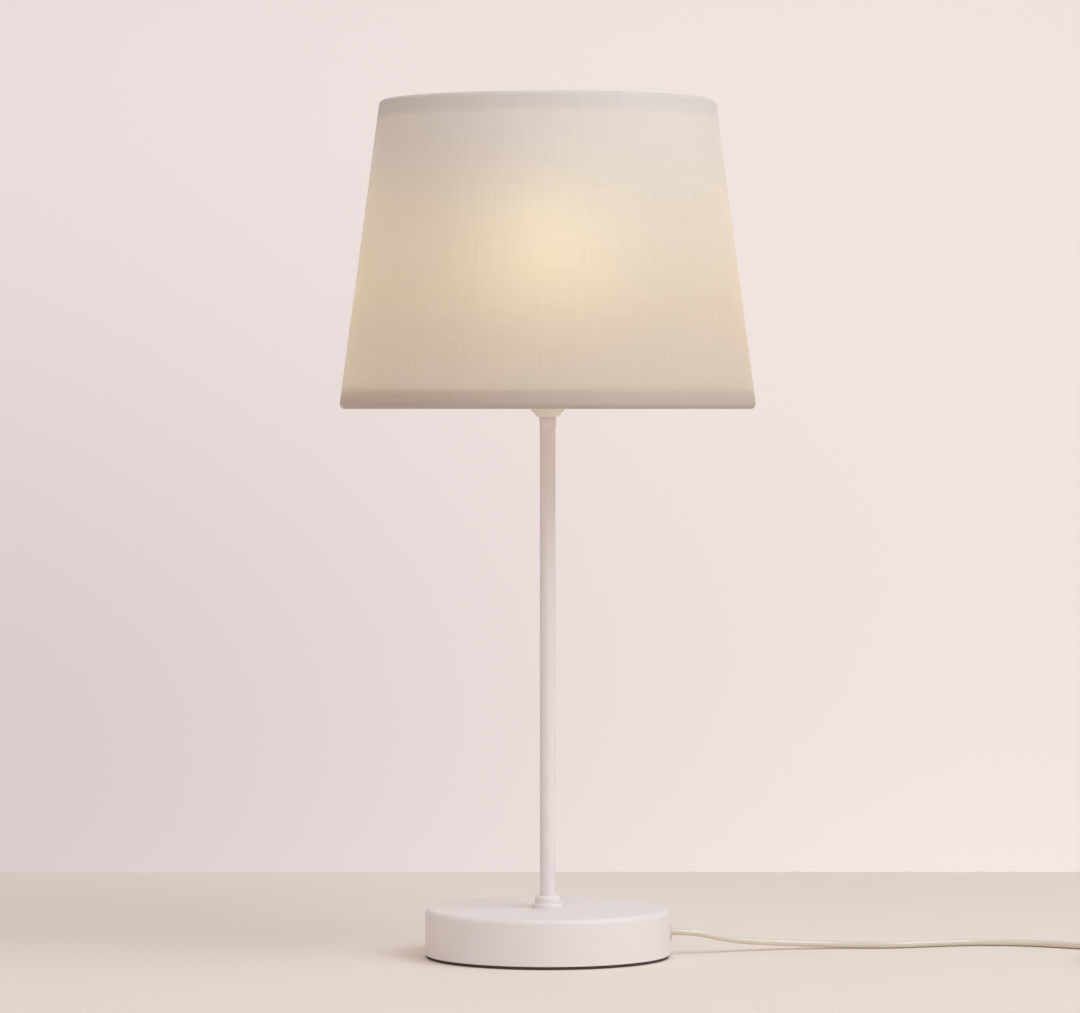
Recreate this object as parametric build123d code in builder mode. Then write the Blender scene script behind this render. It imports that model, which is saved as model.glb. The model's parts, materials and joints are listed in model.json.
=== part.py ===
from build123d import *
import os
from math import atan2, cos, hypot, pi, radians, sin, sqrt, tan

# A small table lamp: a tapered drum shade on a slim stem and a round weighted base,
# with a clear flat flex, an inline switch and a two-pin plug.
# Millimetres. The origin is the middle of the base's underside and +Z is up.
# The flex leaves towards +X, and -Y is the front.

os.makedirs("parts", exist_ok=True)

# Base
base_diameter = 117.5
base_height = 23.5
base_wall = 1.2
base_edge_radius = 2.8
pad_thickness = 1.4
pad_inset = 0.4
plate_thickness = 1.2
plate_clearance = 0.3
weight_thickness = 6.5
weight_clearance = 0.4
weight_chamfer = 1.3

# Stem and the collar at its foot
stem_diameter = 7.5
stem_wall = 0.9
stem_top = 254.4
collar_flange_diameter = 15.1
collar_flange_height = 2.3
collar_flange_fillet = 0.9
collar_boss_diameter = 12.2
collar_height = 6.0
collar_boss_fillet = 1.6
collar_socket_floor = 1.5
collar_bore_diameter = 5.6
spigot_diameter = 8.0
spigot_length = 8.7
braze_clearance = 0.02
through_clearance = 0.15
washer_diameter = 18.0
washer_thickness = 1.2
nut_across_flats = 13.0
nut_thickness = 4.0
nut_recess_diameter = 22.0
nut_recess_depth = 4.5
nut_chamfer = 0.5

# Flat two-core flex
cord_width = 5.2
cord_thickness = 3.3
cord_lift = 0.1
core_diameter = 2.0
core_spacing = 2.1
arc_share = 0.45

# Cable bush and clamp in the base
bush_height = 11.0
bush_azimuth = 8.0
bush_flange_diameter = 9.4
bush_flange_thickness = 1.1
bush_flange_fillet = 0.5
bush_neck_diameter = 7.4
bush_lip_diameter = 8.2
bush_lip_thickness = 1.2
bush_fit = 0.05
clamp_radius = 40.0
clamp_length = 8.0
clamp_width = 17.0
clamp_side = 4.6
clamp_below = 3.0
clamp_fit = 0.1
clamp_screw_side = 7.8
clamp_screw_diameter = 3.0
clamp_screw_head_diameter = 5.6
clamp_screw_head_height = 2.0
clamp_screw_engagement = 4.0
screw_slot_width = 0.7
screw_slot_depth = 0.9
flex_floor_clearance = 0.6
flex_dip_start = 30.0
flex_dip_end = 16.0
flex_dip_radius = 10.0
flex_stem_bend = 9.2
flex_end_gap = 1.5

# Coupler between stem and lampholder
coupler_diameter = 7.9
coupler_height = 4.8
coupler_edge = 0.4
coupler_bore_diameter = 4.5
coupler_plug_length = 10.0
coupler_thread_diameter = 6.4
coupler_thread_length = 5.0

# Lampholder
cap_bottom_diameter = 10.0
holder_diameter = 27.5
holder_wall = 1.7
cap_cone_height = 9.5
cap_shoulder_fillet = 6.0
cap_height = 21.8
cap_floor = 5.3
cap_ledge_height = 14.2
cap_ledge_width = 1.1
lap_length = 3.5
lap_clearance = 0.05
lap_wall = 1.3
barrel_height = 28.0
barrel_shoulder_height = 5.0
barrel_shoulder_thickness = 2.5
barrel_shoulder_diameter = 34.0
barrel_thread_start = 1.2
barrel_thread_pitch = 2.0
barrel_thread_depth = 0.5
barrel_lip = 1.2
insert_clearance = 0.15
insert_flange_thickness = 3.8
insert_lower_diameter = 17.6
insert_lower_height = 5.0
insert_upper_diameter = 18.8
insert_upper_height = 8.6
insert_recess_depth = 7.0
shell_seat_clearance = 0.1
shell_outer_diameter = 16.1
shell_wall = 0.45
shell_height = 26.0
shell_thread_pitch = 2.82
shell_thread_depth = 0.35
contact_width = 4.0
contact_thickness = 0.5
contact_run = 5.0
contact_free_gap = 0.1
terminal_offset = 5.6
terminal_length = 4.0
terminal_width = 5.0
terminal_height = 4.0
terminal_clearance = 0.1
terminal_wire_clearance = 0.1
terminal_wire_depth = 2.5
terminal_screw_diameter = 2.5
terminal_screw_length = 2.2
core_spread_lift = 1.2
core_spread_height = 1.6
core_bend_radius = 1.6
core_gap = 0.2

# Ring that clamps the shade on the lampholder
ring_diameter = 37.0
ring_height = 5.0
ring_thread_clearance = 0.12
ring_grip_count = 24
ring_grip_radius = 1.1
turning_clearance = 0.1

# Bulb
bulb_tip_rise = 5.1
bulb_tip_diameter = 4.8
bulb_tip_thickness = 1.2
bulb_insulator_height = 2.6
bulb_insulator_diameter = 12.0
bulb_cap_diameter = 13.8
bulb_cap_height = 17.6
bulb_cap_wall = 0.35
bulb_cap_thread_depth = 0.45
bulb_cap_plain = 3.0
bulb_body_bottom_diameter = 17.0
bulb_body_top_diameter = 30.6
bulb_body_height = 17.0
bulb_body_wall = 1.2
globe_diameter = 45.0
globe_wall = 1.4
globe_lip = 1.2
globe_lip_wall = 1.0
globe_lip_clearance = 0.1
board_thickness = 1.0
board_clearance = 0.3
board_ledge = 1.4
led_count = 8
led_size = 2.8
led_thickness = 0.7
led_circle_radius = 8.0

# Shade
shade_bottom_diameter = 200.0
shade_top_diameter = 161.0
shade_height = 147.6
shade_bottom = 263.0
shade_thickness = 0.9
shade_wire_diameter = 2.6
shade_wire_clearance = 0.25
hem_leg_height = 6.5
hem_rise = 0.6
hem_slit = 0.3
fitter_inner_diameter = 29.2
fitter_outer_diameter = 35.2
fitter_thickness = 2.0
fitter_edge = 0.4
arm_count = 3
arm_azimuth = 90.0
arm_gap = 0.05
arm_end_gap = 0.5
arm_slot_clearance = 0.3
arm_slot_reach = 2.5

# Inline switch
switch_x = 281.0
switch_y = -36.0
switch_length = 60.0
switch_width = 26.0
switch_lower_height = 7.0
switch_upper_height = 10.5
switch_corner_radius = 9.0
switch_wall = 1.8
switch_edge = 2.4
switch_foot_edge = 0.8
switch_cord_fit = 0.15
rocker_length = 21.0
rocker_width = 12.0
rocker_clearance = 0.3
rocker_end_rise = 4.6
rocker_middle_rise = 3.0
rocker_below = 3.4
rocker_tilt = 7.0
rocker_pivot_height = 14.6
trunnion_diameter = 3.0
trunnion_length = 1.4
trunnion_clearance = 0.1
ear_thickness = 1.6
ear_width = 6.0
ear_below = 3.2
switch_screw_offset = 22.0
switch_screw_side = 8.4
switch_screw_diameter = 2.9
switch_screw_head_diameter = 5.4
switch_screw_head_height = 1.6
switch_screw_recess = 1.9
switch_screw_length = 11.0
switch_boss_diameter = 6.0
switch_boss_clearance = 0.1
switch_terminal_offset = 15.0
switch_terminal_length = 7.0
switch_terminal_width = 5.0
switch_terminal_height = 6.6
switch_terminal_side = 2.7
switch_terminal_screw_diameter = 3.2
switch_terminal_screw_height = 1.6
switch_cord_reach = 2.2
blade_thickness = 0.5
blade_width = 4.0
blade_gap = 0.1
blade_arch_height = 10.65
blade_tip = 6.0
rocker_shoulder = 0.5
rocker_nub = 2.0
rocker_foot_inset = 0.3

# Two-pin plug
plug_x = 349.0
plug_back_y = -23.4
plug_length = 36.0
plug_width = 35.3
plug_height = 13.7
plug_rear_width = 12.0
plug_rear_height = 8.6
plug_waist_width = 25.0
plug_waist_height = 12.2
plug_waist_share = 0.5
relief_length = 20.0
relief_tip_width = 7.6
relief_tip_height = 5.6
relief_groove_count = 5
relief_groove_width = 1.2
relief_groove_depth = 0.7
pin_diameter = 4.0
pin_length = 19.0
pin_spacing = 19.0
pin_root = 5.0
pin_sleeve_length = 10.0
pin_sleeve_diameter = 3.5
pin_core_diameter = 3.0
pin_root_clearance = 0.05
pin_tip_fillet = 1.2

# Coil of put-away flex
coil_outer_radius = 41.3
coil_pitch = 5.8
coil_quarters = 14
coil_layer_pitch = 3.9
coil_end_straight = 6.0
coil_clear_of_switch = 37.0
coil_lift = 0.9
tie_width = 6.0
tie_thickness = 0.6
tie_clearance = 0.3
tie_corner = 1.0

overrun = 1.0

# Heights and radii that several pieces share
base_radius = base_diameter / 2
shell_inner_radius = base_radius - base_wall
ceiling = base_height - base_wall
plate_top = pad_thickness + plate_thickness
weight_bottom = ceiling - weight_thickness
spigot_hole_diameter = spigot_diameter + 2 * through_clearance
spigot_bottom = base_height - spigot_length
stem_bottom = base_height + collar_socket_floor
stem_bore = stem_diameter - 2 * stem_wall
washer_bottom = weight_bottom + nut_recess_depth - washer_thickness
holder_bottom = stem_top + coupler_height
cap_top = holder_bottom + cap_height
holder_radius = holder_diameter / 2
barrel_top = cap_top + barrel_height
shoulder_top = cap_top + barrel_shoulder_height + barrel_shoulder_thickness
fitter_bottom = shoulder_top + turning_clearance
ring_bottom = fitter_bottom + fitter_thickness + turning_clearance
insert_flange_bottom = holder_bottom + cap_ledge_height + turning_clearance
insert_bottom = insert_flange_bottom - insert_lower_height
insert_top = insert_flange_bottom + insert_flange_thickness + insert_upper_height
shell_bottom = insert_top - insert_recess_depth
bulb_tip_height = shell_bottom + bulb_tip_rise
cord_floor = cord_thickness / 2 + cord_lift
cord_in_switch = switch_lower_height

bush_angle = radians(bush_azimuth)
bush_out = Vector(cos(bush_angle), sin(bush_angle), 0)
bush_side = Vector(-sin(bush_angle), cos(bush_angle), 0)
bush_plane = Plane(
    origin=(0, 0, bush_height),
    x_dir=bush_side,
    z_dir=bush_out,
)
bush_face = base_radius + bush_flange_thickness
bush_lip_seat = sqrt(shell_inner_radius**2 - (bush_lip_diameter / 2) ** 2)


def corner_radii(points):
    """Radius of the arc at each corner of a route, as large as its two runs allow."""
    radii = []
    for before, corner, after in zip(points, points[1:], points[2:]):
        run_in = Vector(*corner) - Vector(*before)
        run_out = Vector(*after) - Vector(*corner)
        half_turn = radians(run_in.get_angle(run_out)) / 2
        radii.append(arc_share * min(run_in.length, run_out.length) / tan(half_turn))
    return radii


def section_plane(start, towards):
    """Plane across a flex at its end, with its local x level."""
    direction = Vector(*towards) - Vector(*start)
    level = Vector(-direction.Y, direction.X, 0)
    return Plane(origin=start, x_dir=level, z_dir=direction)


def flat_flex(points, radii):
    """Flat flex along straight runs joined by tangent arcs."""
    with BuildPart() as flex:
        with BuildLine():
            FilletPolyline(*points, radius=radii)
        with BuildSketch(section_plane(points[0], points[1])):
            SlotOverall(cord_width, cord_thickness)
        sweep()
    return flex.part


def wavy_side(radius_high, radius_low, bottom, top, pitch):
    """Points of a rolled thread's side, from bottom to top, as crests and roots."""
    count = int((top - bottom) / (pitch / 2))
    step = (top - bottom) / count
    return [
        (radius_high if index % 2 else radius_low, bottom + index * step)
        for index in range(count + 1)
    ]


# Base shell: pressed steel with a rolled top edge, open underneath
with BuildPart() as base_shell:
    with BuildSketch(Plane.XY.offset(pad_thickness)):
        Circle(base_radius)
    extrude(amount=base_height - pad_thickness)
    fillet(base_shell.edges().group_by(Axis.Z)[-1], radius=base_edge_radius)
    offset(amount=-base_wall, openings=base_shell.faces().sort_by(Axis.Z)[0])
    with BuildSketch(Plane.XY.offset(base_height)):
        Circle(spigot_hole_diameter / 2)
    extrude(amount=-base_wall, mode=Mode.SUBTRACT)
    with BuildSketch(bush_plane.offset(bush_lip_seat)):
        Circle(bush_neck_diameter / 2)
    extrude(amount=base_radius - bush_lip_seat, mode=Mode.SUBTRACT)

# Cast weight clamped under the shell's top, recessed for the nut
with BuildPart() as base_weight:
    with BuildSketch(Plane.XY.offset(weight_bottom)):
        Circle(shell_inner_radius - weight_clearance)
        Circle(spigot_hole_diameter / 2, mode=Mode.SUBTRACT)
    extrude(amount=weight_thickness)
    chamfer(base_weight.edges().group_by(SortBy.LENGTH)[-1], length=weight_chamfer)
    with BuildSketch(Plane.XY.offset(weight_bottom)):
        Circle(nut_recess_diameter / 2)
    extrude(amount=nut_recess_depth, mode=Mode.SUBTRACT)
    clamp_hole = clamp_radius * bush_out + clamp_screw_side * bush_side
    with BuildSketch(Plane.XY.offset(weight_bottom)):
        with Locations((clamp_hole.X, clamp_hole.Y)):
            Circle(clamp_screw_diameter / 2)
    extrude(amount=clamp_screw_engagement + overrun, mode=Mode.SUBTRACT)

# Steel plate that closes the shell from below
with BuildPart() as base_plate:
    with BuildSketch(Plane.XY.offset(pad_thickness)):
        Circle(shell_inner_radius - plate_clearance)
    extrude(amount=plate_thickness)

# Foam pad glued under the plate and the shell's rim
with BuildPart() as foot_pad:
    with BuildSketch():
        Circle(base_radius - pad_inset)
    extrude(amount=pad_thickness)

# Turned collar with a hollow threaded spigot, the stem is brazed in its socket
with BuildPart() as stem_collar:
    with BuildSketch(Plane.XY.offset(base_height)):
        Circle(collar_flange_diameter / 2)
    extrude(amount=collar_flange_height)
    fillet(stem_collar.edges().group_by(Axis.Z)[-1], radius=collar_flange_fillet)
    with BuildSketch(Plane.XY.offset(base_height)):
        Circle(collar_boss_diameter / 2)
    extrude(amount=collar_height)
    fillet(stem_collar.edges().group_by(Axis.Z)[-1], radius=collar_boss_fillet)
    with BuildSketch(Plane.XY.offset(base_height)):
        Circle(spigot_diameter / 2)
    extrude(amount=-spigot_length)
    with BuildSketch(Plane.XY.offset(stem_bottom)):
        Circle(stem_diameter / 2 + braze_clearance)
    extrude(amount=collar_height, mode=Mode.SUBTRACT)
    with BuildSketch(Plane.XY.offset(spigot_bottom)):
        Circle(collar_bore_diameter / 2)
    extrude(amount=spigot_length + collar_height, mode=Mode.SUBTRACT)

# Washer and nut that pull the collar down on the base
with BuildPart() as stem_washer:
    with BuildSketch(Plane.XY.offset(washer_bottom)):
        Circle(washer_diameter / 2)
        Circle(spigot_hole_diameter / 2, mode=Mode.SUBTRACT)
    extrude(amount=washer_thickness)

with BuildPart() as stem_nut:
    with BuildSketch(Plane.XY.offset(washer_bottom)):
        RegularPolygon(nut_across_flats / 2, 6, major_radius=False)
    extrude(amount=-nut_thickness)
    chamfer(
        stem_nut.faces().sort_by(Axis.Z)[0].edges(),
        length=nut_chamfer,
    )
    with BuildSketch(Plane.XY.offset(washer_bottom)):
        Circle(spigot_diameter / 2 + braze_clearance)
    extrude(amount=-nut_thickness, mode=Mode.SUBTRACT)

# Slim steel tube
with BuildPart() as stem_tube:
    with BuildSketch(Plane.XY.offset(stem_bottom)):
        Circle(stem_diameter / 2)
        Circle(stem_bore / 2, mode=Mode.SUBTRACT)
    extrude(amount=stem_top - stem_bottom)

# Bush that the flex leaves the base through
with BuildPart() as cable_bush:
    with BuildSketch(bush_plane.offset(bush_lip_seat - bush_lip_thickness)):
        Circle(bush_lip_diameter / 2)
    extrude(amount=bush_lip_thickness)
    with BuildSketch(bush_plane.offset(bush_lip_seat)):
        Circle(bush_neck_diameter / 2 - bush_fit)
    extrude(amount=base_radius - bush_lip_seat)
    with BuildSketch(bush_plane.offset(base_radius)):
        Circle(bush_flange_diameter / 2)
    extrude(amount=bush_flange_thickness)
    fillet(
        cable_bush.faces().sort_by(Axis(origin=(0, 0, 0), direction=bush_out))[-1].edges(),
        radius=bush_flange_fillet,
    )
    with BuildSketch(bush_plane.offset(bush_lip_seat - bush_lip_thickness)):
        SlotOverall(cord_width + 2 * bush_fit, cord_thickness + 2 * bush_fit)
    extrude(amount=base_radius, mode=Mode.SUBTRACT)

# Block under the weight that grips the flex, and its screw
clamp_top = weight_bottom - bush_height
with BuildPart() as cord_clamp:
    with BuildSketch(bush_plane.offset(clamp_radius - clamp_length / 2)):
        with Locations((-clamp_side, -clamp_below)):
            Rectangle(clamp_width, clamp_below + clamp_top, align=(Align.MIN, Align.MIN))
        SlotOverall(
            cord_width + 2 * clamp_fit,
            cord_thickness + 2 * clamp_fit,
            mode=Mode.SUBTRACT,
        )
    extrude(amount=clamp_length)
    with BuildSketch(Plane.XY.offset(weight_bottom)):
        with Locations((clamp_hole.X, clamp_hole.Y)):
            Circle(clamp_screw_diameter / 2 + clamp_fit)
    extrude(amount=-(clamp_below + clamp_top), mode=Mode.SUBTRACT)

clamp_bottom = bush_height - clamp_below
clamp_screw_plane = Plane(origin=(clamp_hole.X, clamp_hole.Y, clamp_bottom))
with BuildPart() as clamp_screw:
    with BuildSketch(clamp_screw_plane.offset(-clamp_screw_head_height)):
        Circle(clamp_screw_head_diameter / 2)
    extrude(amount=clamp_screw_head_height)
    with BuildSketch(clamp_screw_plane):
        Circle(clamp_screw_diameter / 2)
    extrude(amount=clamp_below + clamp_top + clamp_screw_engagement)
    with BuildSketch(clamp_screw_plane.offset(-clamp_screw_head_height)):
        Rectangle(clamp_screw_head_diameter, screw_slot_width)
    extrude(amount=screw_slot_depth, mode=Mode.SUBTRACT)

# Flex inside the base and the stem, up to where its sheath is stripped
flex_low = plate_top + cord_thickness / 2 + flex_floor_clearance
flex_top = stem_top - coupler_plug_length - flex_end_gap
inner_points = [
    (bush_face * bush_out.X, bush_face * bush_out.Y, bush_height),
    (flex_dip_start * bush_out.X, flex_dip_start * bush_out.Y, bush_height),
    (flex_dip_end * bush_out.X, flex_dip_end * bush_out.Y, flex_low),
    (0, 0, flex_low),
    (0, 0, flex_top),
]
inner_flex = flat_flex(
    inner_points,
    [flex_dip_radius, flex_dip_radius, flex_stem_bend],
)

# Turned coupler ring with a plug in the stem and a thread in the lampholder
with BuildPart() as top_coupler:
    with BuildSketch(Plane.XY.offset(stem_top)):
        Circle(coupler_diameter / 2)
    extrude(amount=coupler_height)
    chamfer(top_coupler.edges(), length=coupler_edge)
    with BuildSketch(Plane.XY.offset(stem_top)):
        Circle(stem_bore / 2 - braze_clearance)
    extrude(amount=-coupler_plug_length)
    with BuildSketch(Plane.XY.offset(holder_bottom)):
        Circle(coupler_thread_diameter / 2)
    extrude(amount=coupler_thread_length)
    with BuildSketch(Plane.XY.offset(stem_top - coupler_plug_length)):
        Circle(coupler_bore_diameter / 2)
    extrude(
        amount=coupler_plug_length + coupler_height + coupler_thread_length,
        mode=Mode.SUBTRACT,
    )

# Lower cap of the lampholder: a cone that swells into the barrel
cap_inner_radius = holder_radius - holder_wall
cap_cone_top = holder_bottom + cap_cone_height
cone_slope = (holder_radius - cap_bottom_diameter / 2) / cap_cone_height
cap_ledge = holder_bottom + cap_ledge_height
cap_floor_top = holder_bottom + cap_floor
cap_floor_radius = cap_bottom_diameter / 2 + cone_slope * cap_floor - 2 * holder_wall
with BuildPart() as holder_cap:
    with BuildSketch(Plane.XZ):
        with BuildLine():
            Polyline(
                (0, holder_bottom),
                (cap_bottom_diameter / 2, holder_bottom),
                (holder_radius, cap_cone_top),
                (holder_radius, cap_top),
                (0, cap_top),
                close=True,
            )
        make_face()
    revolve(axis=Axis.Z)
    fillet(
        holder_cap.edges().filter_by(GeomType.CIRCLE).group_by(Axis.Z)[1],
        radius=cap_shoulder_fillet,
    )
    with BuildSketch(Plane.XZ):
        with BuildLine():
            Polyline(
                (0, cap_floor_top),
                (cap_floor_radius, cap_floor_top),
                (cap_inner_radius - cap_ledge_width, cap_cone_top + holder_wall),
                (cap_inner_radius - cap_ledge_width, cap_ledge),
                (cap_inner_radius, cap_ledge),
                (cap_inner_radius, cap_top),
                (0, cap_top),
                close=True,
            )
        make_face()
    revolve(axis=Axis.Z, mode=Mode.SUBTRACT)
    with BuildSketch(Plane.XY.offset(holder_bottom)):
        Circle(coupler_thread_diameter / 2 + braze_clearance)
    extrude(amount=cap_floor, mode=Mode.SUBTRACT)

# Barrel of the lampholder with a shoulder for the shade and a rolled thread
lap_radius = cap_inner_radius - lap_clearance
barrel_bore = lap_radius - lap_wall
shoulder_bottom = cap_top + barrel_shoulder_height
thread_bottom = shoulder_top + barrel_thread_start
thread_top = barrel_top - barrel_lip
thread_root = holder_radius - barrel_thread_depth
with BuildPart() as holder_barrel:
    with BuildSketch(Plane.XZ):
        with BuildLine():
            Polyline(
                (barrel_bore, cap_top - lap_length),
                (lap_radius, cap_top - lap_length),
                (lap_radius, cap_top),
                (holder_radius, cap_top),
                (holder_radius, shoulder_bottom),
                (barrel_shoulder_diameter / 2, shoulder_bottom),
                (barrel_shoulder_diameter / 2, shoulder_top),
                (thread_root, shoulder_top),
                *wavy_side(
                    holder_radius,
                    thread_root,
                    thread_bottom,
                    thread_top,
                    barrel_thread_pitch,
                ),
                (thread_root, barrel_top),
                (barrel_bore, barrel_top),
                close=True,
            )
        make_face()
    revolve(axis=Axis.Z)

# Ceramic insert that carries the screw shell and the terminals
insert_flange_radius = cap_inner_radius - insert_clearance
terminal_z = insert_bottom + terminal_height / 2
with BuildPart() as holder_insert:
    with BuildSketch(Plane.XY.offset(insert_bottom)):
        Circle(insert_lower_diameter / 2)
    extrude(amount=insert_lower_height)
    with BuildSketch(Plane.XY.offset(insert_flange_bottom)):
        Circle(insert_flange_radius)
    extrude(amount=insert_flange_thickness)
    with BuildSketch(Plane.XY.offset(insert_flange_bottom + insert_flange_thickness)):
        Circle(insert_upper_diameter / 2)
    extrude(amount=insert_upper_height)
    with BuildSketch(Plane.XY.offset(shell_bottom)):
        Circle(shell_outer_diameter / 2 + shell_seat_clearance)
    extrude(amount=insert_recess_depth, mode=Mode.SUBTRACT)
    with BuildSketch(Plane.XY.offset(insert_bottom)):
        with Locations((terminal_offset, 0), (-terminal_offset, 0)):
            Rectangle(
                terminal_length + 2 * terminal_clearance,
                terminal_width + 2 * terminal_clearance,
            )
    extrude(amount=terminal_height + terminal_clearance, mode=Mode.SUBTRACT)
    with BuildSketch(Plane.YZ.offset(terminal_offset)):
        with Locations((0, terminal_z)):
            Circle(terminal_screw_diameter / 2 + terminal_clearance)
    extrude(amount=insert_lower_diameter, mode=Mode.SUBTRACT)
    with BuildSketch(Plane.YZ.offset(-terminal_offset)):
        with Locations((0, terminal_z)):
            Circle(terminal_screw_diameter / 2 + terminal_clearance)
    extrude(amount=-insert_lower_diameter, mode=Mode.SUBTRACT)

# Brass screw shell with a rolled thread
shell_top = shell_bottom + shell_height
shell_crest = shell_outer_diameter / 2
with BuildPart() as screw_shell:
    with BuildSketch(Plane.XZ):
        with BuildLine():
            outer_side = wavy_side(
                shell_crest,
                shell_crest - shell_thread_depth,
                shell_bottom,
                shell_top,
                shell_thread_pitch,
            )
            inner_side = [(radius - shell_wall, height) for radius, height in outer_side]
            Polyline(*outer_side, *reversed(inner_side), close=True)
        make_face()
    revolve(axis=Axis.Z)

# Sprung contact strip in the middle of the holder
with BuildPart() as centre_contact:
    with BuildSketch(Plane.XZ):
        with BuildLine():
            Polyline(
                (contact_run, shell_bottom + contact_thickness / 2),
                (-contact_run, shell_bottom + contact_thickness / 2),
                (
                    0,
                    bulb_tip_height - contact_free_gap - contact_thickness / 2,
                ),
                (
                    bulb_tip_diameter / 2,
                    bulb_tip_height - contact_free_gap - contact_thickness / 2,
                ),
            )
        trace(line_width=contact_thickness)
    extrude(amount=contact_width / 2, both=True)

# Brass terminals and their screws
with BuildPart() as holder_terminals:
    with BuildSketch(Plane.XY.offset(insert_bottom)):
        with Locations((terminal_offset, 0), (-terminal_offset, 0)):
            Rectangle(terminal_length, terminal_width)
            Circle(core_diameter / 2 + terminal_wire_clearance, mode=Mode.SUBTRACT)
    extrude(amount=terminal_height)

with BuildPart() as terminal_screws:
    with BuildSketch(Plane.YZ.offset(terminal_offset + terminal_length / 2)):
        with Locations((0, terminal_z)):
            Circle(terminal_screw_diameter / 2)
            Rectangle(
                screw_slot_width,
                terminal_screw_diameter / 2,
                align=(Align.CENTER, Align.MIN),
                mode=Mode.SUBTRACT,
            )
    extrude(amount=terminal_screw_length)
    mirror(about=Plane.YZ)

# Two insulated cores from the flex to the terminals
core_x = core_spacing / 2
core_bottom = flex_top + core_gap
core_spread = cap_floor_top + core_spread_lift
core_top = insert_bottom + terminal_wire_depth


def holder_core(side):
    """One core, up the coupler and out to its terminal."""
    points = [
        (side * core_x, 0, core_bottom),
        (side * core_x, 0, core_spread),
        (side * terminal_offset, 0, core_spread + core_spread_height),
        (side * terminal_offset, 0, core_top),
    ]
    with BuildPart() as core:
        with BuildLine():
            FilletPolyline(*points, radius=core_bend_radius)
        with BuildSketch(Plane.XY.offset(core_bottom)):
            with Locations((side * core_x, 0)):
                Circle(core_diameter / 2)
        sweep()
    return core.part


core_live = holder_core(1)
core_neutral = holder_core(-1)

# Threaded ring that clamps the shade's fitter on the shoulder
with BuildPart() as shade_ring:
    with BuildSketch(Plane.XY.offset(ring_bottom)):
        Circle(ring_diameter / 2)
        Circle(holder_radius + ring_thread_clearance, mode=Mode.SUBTRACT)
        with PolarLocations(ring_diameter / 2, ring_grip_count):
            Circle(ring_grip_radius, mode=Mode.SUBTRACT)
    extrude(amount=ring_height)

# Bulb: contact tip, insulator, screw cap, body, light board and globe
tip_top = bulb_tip_height + bulb_tip_thickness
bulb_cap_bottom = tip_top + bulb_insulator_height
bulb_cap_top = bulb_cap_bottom + bulb_cap_height
bulb_body_top = bulb_cap_top + bulb_body_height
globe_radius = globe_diameter / 2
with BuildPart() as bulb_tip:
    with BuildSketch(Plane.XY.offset(bulb_tip_height)):
        Circle(bulb_tip_diameter / 2)
    extrude(amount=bulb_tip_thickness)
    fillet(bulb_tip.edges().group_by(Axis.Z)[0], radius=bulb_tip_thickness / 2)

with BuildPart() as bulb_insulator:
    with BuildSketch(Plane.XY.offset(tip_top)):
        Circle(bulb_tip_diameter / 2)
    with BuildSketch(Plane.XY.offset(bulb_cap_bottom)):
        Circle(bulb_insulator_diameter / 2)
    loft()

bulb_cap_crest = bulb_cap_diameter / 2
bulb_thread_top = bulb_cap_top - bulb_cap_plain
with BuildPart() as bulb_cap:
    with BuildSketch(Plane.XZ):
        with BuildLine():
            cap_side = [
                *wavy_side(
                    bulb_cap_crest,
                    bulb_cap_crest - bulb_cap_thread_depth,
                    bulb_cap_bottom,
                    bulb_thread_top,
                    shell_thread_pitch,
                ),
                (bulb_cap_crest - bulb_cap_thread_depth, bulb_cap_top),
            ]
            cap_inside = [(radius - bulb_cap_wall, height) for radius, height in cap_side]
            Polyline(*cap_side, *reversed(cap_inside), close=True)
        make_face()
    revolve(axis=Axis.Z)

# The globe's centre is where a ball of its size meets the body's top
body_top_radius = bulb_body_top_diameter / 2
globe_centre = bulb_body_top + sqrt(globe_radius**2 - body_top_radius**2)
body_inner_bottom = bulb_body_bottom_diameter / 2 - bulb_body_wall
board_bottom = bulb_body_top - board_ledge - board_thickness
body_slope = (body_top_radius - bulb_body_bottom_diameter / 2) / bulb_body_height


def body_inside(height):
    """Inner radius of the bulb's body at a height."""
    rise = height - bulb_cap_top
    return bulb_body_bottom_diameter / 2 + body_slope * rise - bulb_body_wall


with BuildPart() as bulb_body:
    with BuildSketch(Plane.XZ):
        with BuildLine():
            Polyline(
                (0, bulb_cap_top),
                (bulb_body_bottom_diameter / 2, bulb_cap_top),
                (body_top_radius, bulb_body_top),
                (body_inside(bulb_body_top), bulb_body_top),
                (body_inside(board_bottom), board_bottom),
                (body_inside(board_bottom) - bulb_body_wall, board_bottom),
                (body_inner_bottom, bulb_cap_top + bulb_body_wall),
                (0, bulb_cap_top + bulb_body_wall),
                close=True,
            )
        make_face()
    revolve(axis=Axis.Z)
    with BuildSketch(Plane.XY.offset(bulb_cap_top)):
        Circle(bulb_cap_crest - bulb_cap_thread_depth - bulb_cap_wall - bush_fit)
    extrude(amount=-bulb_cap_plain)

board_radius = body_inside(board_bottom) - board_clearance
with BuildPart() as led_board:
    with BuildSketch(Plane.XY.offset(board_bottom)):
        Circle(board_radius)
    extrude(amount=board_thickness)

with BuildPart() as led_chips:
    with BuildSketch(Plane.XY.offset(board_bottom + board_thickness)):
        with PolarLocations(led_circle_radius, led_count):
            Rectangle(led_size, led_size)
    extrude(amount=led_thickness)

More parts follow.
